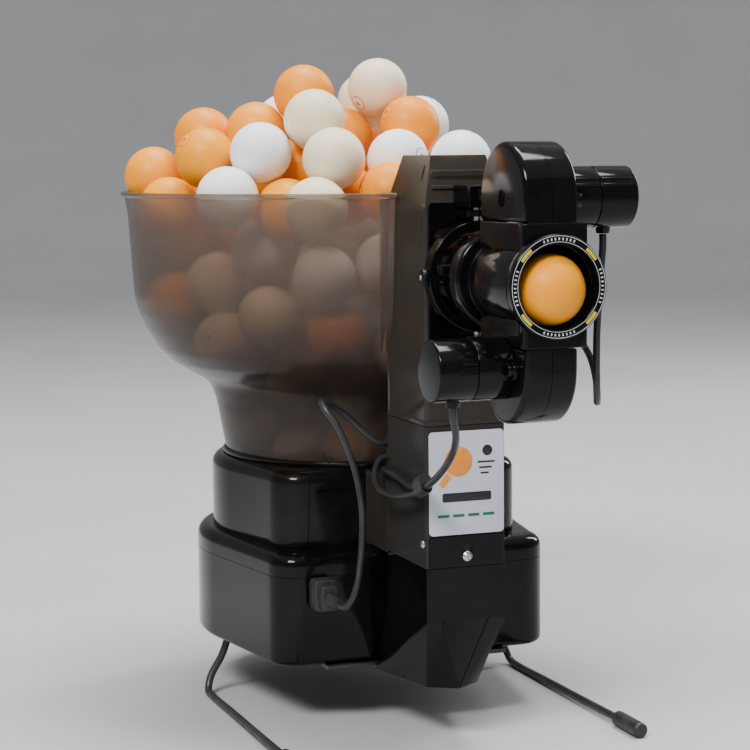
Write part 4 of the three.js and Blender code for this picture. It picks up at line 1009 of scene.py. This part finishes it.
def make_wheel_side(prefix, up):
    """Housing, saddle and motor pod of one wheel, built as the upper ones and turned over for the lower."""
    def add(name, shapes, node=(), cuts=(), union=()):
        def put(some):
            return [moved(shape if up > 0 else half_turn(shape), 0, 0, AXIS_Z) for shape in some]

        piece(name, merge(*put(shapes)), GLOSS, node, "head", put(cuts), put(union))

    well = sharp_box(-13, 13, WHEEL_Y - 27, WHEEL_Y + 27, 30, 40)
    axle = bar("x", 5, -40, 40, WHEEL_Y, WHEEL_OFFSET, 0, 32)
    for side in (-1, 1):
        shell = along_x(cup(anticlockwise(dome_outline()), side * 16, side * 0.15, 2.0, 3.2, 6))
        half = f"{prefix}_housing_" + ("left" if side * up < 0 else "right")
        add(half + "_shell", [shell], half, [well, axle])

    # the saddle on the barrel, with the flange of the pod's frame
    front = nozzle_high[1] + 0.6
    left, right = (-18, 20.7) if up > 0 else (-20.7, 18)
    saddle = block(-16, 16, front, -107, 16, SADDLE_FAR, 1.0, 0.3)
    flange = block(left, right, front, front + 7, 16, SADDLE_FAR, 1.2, 0.8)
    cuts = [bar("y", 24.8, -200, -90, 0, 0, 0, 96), sharp_box(-13, 13, WHEEL_Y - 29, WHEEL_Y + 29, 0, 60),
            bar("x", 17.8, 14, 30, WHEEL_Y, WHEEL_OFFSET, 0, 64)]
    add(f"{prefix}_saddle_block", [saddle], f"{prefix}_saddle", cuts, [flange])

    # motor pod with its foot and two bosses
    start, seam, end = pod_low[0], pod_high[0], cap_high[0]
    thin_r = POD_R - 2
    pod = [(POD_R, start), (POD_R, seam - 0.2), (thin_r, seam - 0.2), (thin_r, start)]
    pod = along_x(lathe(fillet(pod, [0.4, 0.35, 0.2, 0.2], 3), 96, closed=True))
    pod = moved(pod, 0, WHEEL_Y, WHEEL_OFFSET)
    foot = rounded_rect(WHEEL_Y - 24, WHEEL_Y + 24, WHEEL_OFFSET - 5, WHEEL_OFFSET + 5, 4, 6)
    union = [along_x(prism(foot, start, start + 3, 0.2, 0.7)),
             bar("x", 4.5, start, start + 9, WHEEL_Y + 19, WHEEL_OFFSET - 7, 0.7, 40),
             bar("x", 4.0, start, start + 6, WHEEL_Y - 19.5, WHEEL_OFFSET - 1, 0.6, 40)]
    inner = bar("x", thin_r, start - 3, seam + 3, WHEEL_Y, WHEEL_OFFSET, 0, 64)
    add(f"{prefix}_pod_housing", [pod], f"{prefix}_motor_housing", [inner], union)

    # its cap, with a gland for the lead
    rim = seam + GAP
    cap = [(0, end), (POD_R, end), (POD_R, rim), (thin_r, rim), (thin_r, end - 2), (0, end - 2)]
    cap = fillet(cap, [0, 1.3, 0.35, 0.2, 0.5, 0], 5, closed=False)
    cap = moved(along_x(lathe(cap, 96)), 0, WHEEL_Y, WHEEL_OFFSET)
    gland = fillet([(2.3, 2.9), (3.7, 2.9), (4.4, -1), (4.4, -3), (2.3, -3)], [0.3, 0.4, 0.3, 0, 0], 3)
    gland = lathe([(r, -up * z) for r, z in gland], 40, closed=True)
    gland = moved(gland, 46, WHEEL_Y, WHEEL_OFFSET - up * POD_R)
    add(f"{prefix}_pod_cap", [cap, gland], f"{prefix}_motor_cap")

    # ribs on the upper pod, a latch tab on the lower one
    if up > 0:
        ribs, spans = [], ((start + 2, seam - 1), (seam + 1, end - 4))
        for a in (math.radians(156), math.radians(144)):
            y, z = WHEEL_Y + POD_R * math.cos(a), WHEEL_OFFSET + POD_R * math.sin(a)
            ribs += [bar("x", 0.9, *ends, y, z, 0.5, 20) for ends in spans]
        add("upper_pod_ribs", ribs)
    else:
        y = WHEEL_Y - POD_R
        edges = ((0.8, -5.6, -4.4), (0.8, 0.4, 1.6), (9.8, -5.6, 1.6))
        bars = [block(seam + x, seam + 11, y - 0.5, y + 3, low, high, 0.4, 0.3) for x, low, high in edges]
        add("lower_pod_latch", [moved(edge, 0, 0, WHEEL_OFFSET) for edge in bars])


def make_nozzle():
    bore, outer = 23.5, nozzle_high[0]
    y0, y1 = nozzle_low[1], nozzle_high[1]
    ring = fillet([(bore, y0), (outer, y0), (outer, y1), (bore, y1)], [0.7, 1.0, 0.4, 0.4], 5)
    piece("nozzle_front_ring", barrel_ring(ring, 144), GLOSS, "nozzle_ring", "head")
    planes = (y0 - 0.12, y0 + 0.3)
    yellow = [arc_bar(25.1, 26.9, a - 9, a + 9, *planes) for a in (42, 138, 222, 318)]
    piece("nozzle_yellow_marks", merge(*yellow), INK_YELLOW, body="head")
    white = [arc_bar(r0, r1, 0, 359.9, *planes, 144) for r0, r1 in ((24.25, 24.5), (27.5, 27.8))]
    for middle in (0, 90, 180, 270):
        ticks = (middle + 5 * k for k in range(-4, 5))
        white += [arc_bar(25.3, 26.7, a - 0.9, a + 0.9, *planes, 3) for a in ticks]
    piece("nozzle_white_marks", merge(*white), INK_WHITE, body="head")

    r, b = (barrel_high[2] - barrel_low[2]) / 2, BORE_R
    front, back = barrel_low[1], barrel_high[1]
    wall = fillet([(b, front), (r, front), (r, back), (b, back)], [0.2, 0.3, 0.4, 0.4], 3)
    reach = WHEEL_Y - WINDOW_REACH, WHEEL_Y + WINDOW_REACH
    window = sharp_box(-WINDOW_HALF, WINDOW_HALF, *reach, AXIS_Z - 40, AXIS_Z + 40)
    piece("barrel_tube", barrel_ring(wall), GLOSS, "barrel", "head", [window])
    r0, r1 = r - 0.3, r + 0.55
    bands = [barrel_ring(fillet([(r0, y), (r1, y), (r1, y + 1.4), (r0, y + 1.4)], 0.35, 3))
             for y in (front + 0.5, -112.5)]
    piece("barrel_bands", merge(*bands), GLOSS, body="head")


def make_swivel():
    """Collar ring with its end notch, the tilt pins, and the drum's angle marks."""
    r = (ring_high[2] - ring_low[2]) / 2
    front, back = ring_low[1], ring_high[1]
    inner, stop = (drum_high[2] - drum_low[2]) / 2 + GAP, drum_low[1] - GAP
    profile = [(inner, back), (r, back), (r, front), (23, front), (23, stop), (inner, stop)]
    notch = sharp_box(-16, -7, front - 2, back + 2, AXIS_Z + 24.5, AXIS_Z + 40)
    ring = barrel_ring(fillet(profile, [0.3, 2.6, 2.2, 0.4, 0.2, 0.2], 6))
    piece("swivel_ring", ring, GLOSS, "collar_ring", "head", [notch])
    for side, name in ((-1, "left"), (1, "right")):
        def rod(radius, near, far, *rest):
            return bar("x", radius, *sorted((side * near, side * far)), GIMBAL_Y, AXIS_Z, *rest)

        node = f"tilt_pin_{name}"
        piece(node + "_cap", merge(rod(3, 22, 35), rod(5.2, 33.4, 36.6, 0.9)), SATIN_BLACK, node, "gimbal")
        piece(node + "_screw", rod(1.7, 36.4, 37, 0.3, 24), STEEL, node, "gimbal")
    marks = [arc_bar(24.0, 24.25, 150 + 5 * k, 151.2 + 5 * k, -88, -85 if k % 2 else -83, 3) for k in range(9)]
    piece("tilt_scale_marks", merge(*marks), INK_WHITE, body="drum")


# CAD nodes that stay: material, bevel width, bevel segments, names
KEPT_NODES = (
    (SMOKY, 0.9, 3, "tower_upper_shell"), (SMOKY, 0.5, 2, "feed_duct"),
    (SMOKY_LOW, 0.7, 3, "tower_lower_shell"),
    (GLOSS, 0.6, 3, "foot swing_servo"), (GLOSS, 0.7, 3, "gimbal_ring"), (GLOSS, 0.3, 2, "front_panel"),
    (GLOSS, 0.4, 2, "tilt_drum"), (GLOSS, 0.5, 2, "pivot_frame"), (FOIL, 0.25, 2, "label_plate"),
    (COATED, 0.5, 2, "bracket_plate"), (INNER, 0.4, 2, "ball_channel head_socket power_inlet control_socket"),
    (NATURAL, 0.6, 2, "feed_rotor"), (NATURAL, 0.5, 2, "upper_wheel_hub lower_wheel_hub"),
    (CAN, 0.5, 2, "feed_gear_motor"), (CAN, 0.6, 2, "upper_motor lower_motor"),
    (BOARD, 0.2, 2, "control_board"),
    (RUBBER, 1.2, 3, "lead_grommet"), (RUBBER, 0.6, 2, "lead_splice"),
    (STEEL, 0.4, 2, "swing_pin_top swing_pin_bottom"), (TYRE, 1.0, 3, "upper_wheel_tyre lower_wheel_tyre"),
)


def keep_nodes():
    for material, bevel, segments, names in KEPT_NODES:
        for name in names.split():
            keep_node(name, material, bevel, segments)


# ---- studio ----
def stage_material():
    look = Look("pale_floor", Roughness=0.7)
    tone = look.ramp(look.noise(3, 4), (0.3, (0.45, 0.45, 0.455)), (0.7, (0.49, 0.49, 0.495)))
    look.link(tone, "Base Color")
    look.bump(look.noise(200, 2), 0.05)
    return look.material


def area_light(name, at, aim, size, power):
    light = bpy.data.lights.new(name, "AREA")
    light.shape = "RECTANGLE"
    light.size, light.size_y = size
    light.energy = power
    thing = bpy.data.objects.new(name, light)
    bpy.context.scene.collection.objects.link(thing)
    thing.location = at
    thing.rotation_euler = (Vector(aim) - Vector(at)).to_track_quat("-Z", "Y").to_euler()


def make_studio():
    """A round floor that curves up into a wall all round, a soft sky and three area lights."""
    far, height, curve, height_blend = 6400, 5200, 4700, 40
    inner = fillet([(0, 0), (1500, 0), (far, 0), (far, height)], [0, 0, curve, 0], 48, closed=False)
    outer = [(far + height_blend, height), (far + height_blend, -height_blend), (0, -height_blend)]
    outer = fillet(outer, [0, curve + height_blend, 0], 48, closed=False)
    sweep = moved(lathe([tuple(p) for p in inner + outer], 128), 0, 0, cad_low[2] / MM)
    floor = to_object("floor", sweep, 60)
    floor.data.materials.append(stage_material())
    world = bpy.data.worlds.new("studio")
    world.use_nodes = True
    sky = world.node_tree.nodes["Background"]
    sky.inputs["Color"].default_value = (0.61, 0.62, 0.64, 1)
    sky.inputs["Strength"].default_value = 1.0
    bpy.context.scene.world = world
    area_light("key", (-1.6, -1.6, 2.2), (0, 0.1, 0.15), (1.1, 0.7), 108)
    area_light("top", (0.3, 0.3, 2.4), (0, 0.1, 0.2), (1.6, 0.7), 76)
    area_light("rim", (1.9, 0.9, 1.3), (0, 0.05, 0.2), (0.4, 1.4), 26)


# ---- everything ----
make_leads()
make_balls()
make_hopper()
make_base()
make_collar()
make_tower()
make_label_art()
make_fasteners()
make_rods()
make_wheel_side("upper", 1)
make_wheel_side("lower", -1)
make_nozzle()
make_swivel()
keep_nodes()
make_studio()
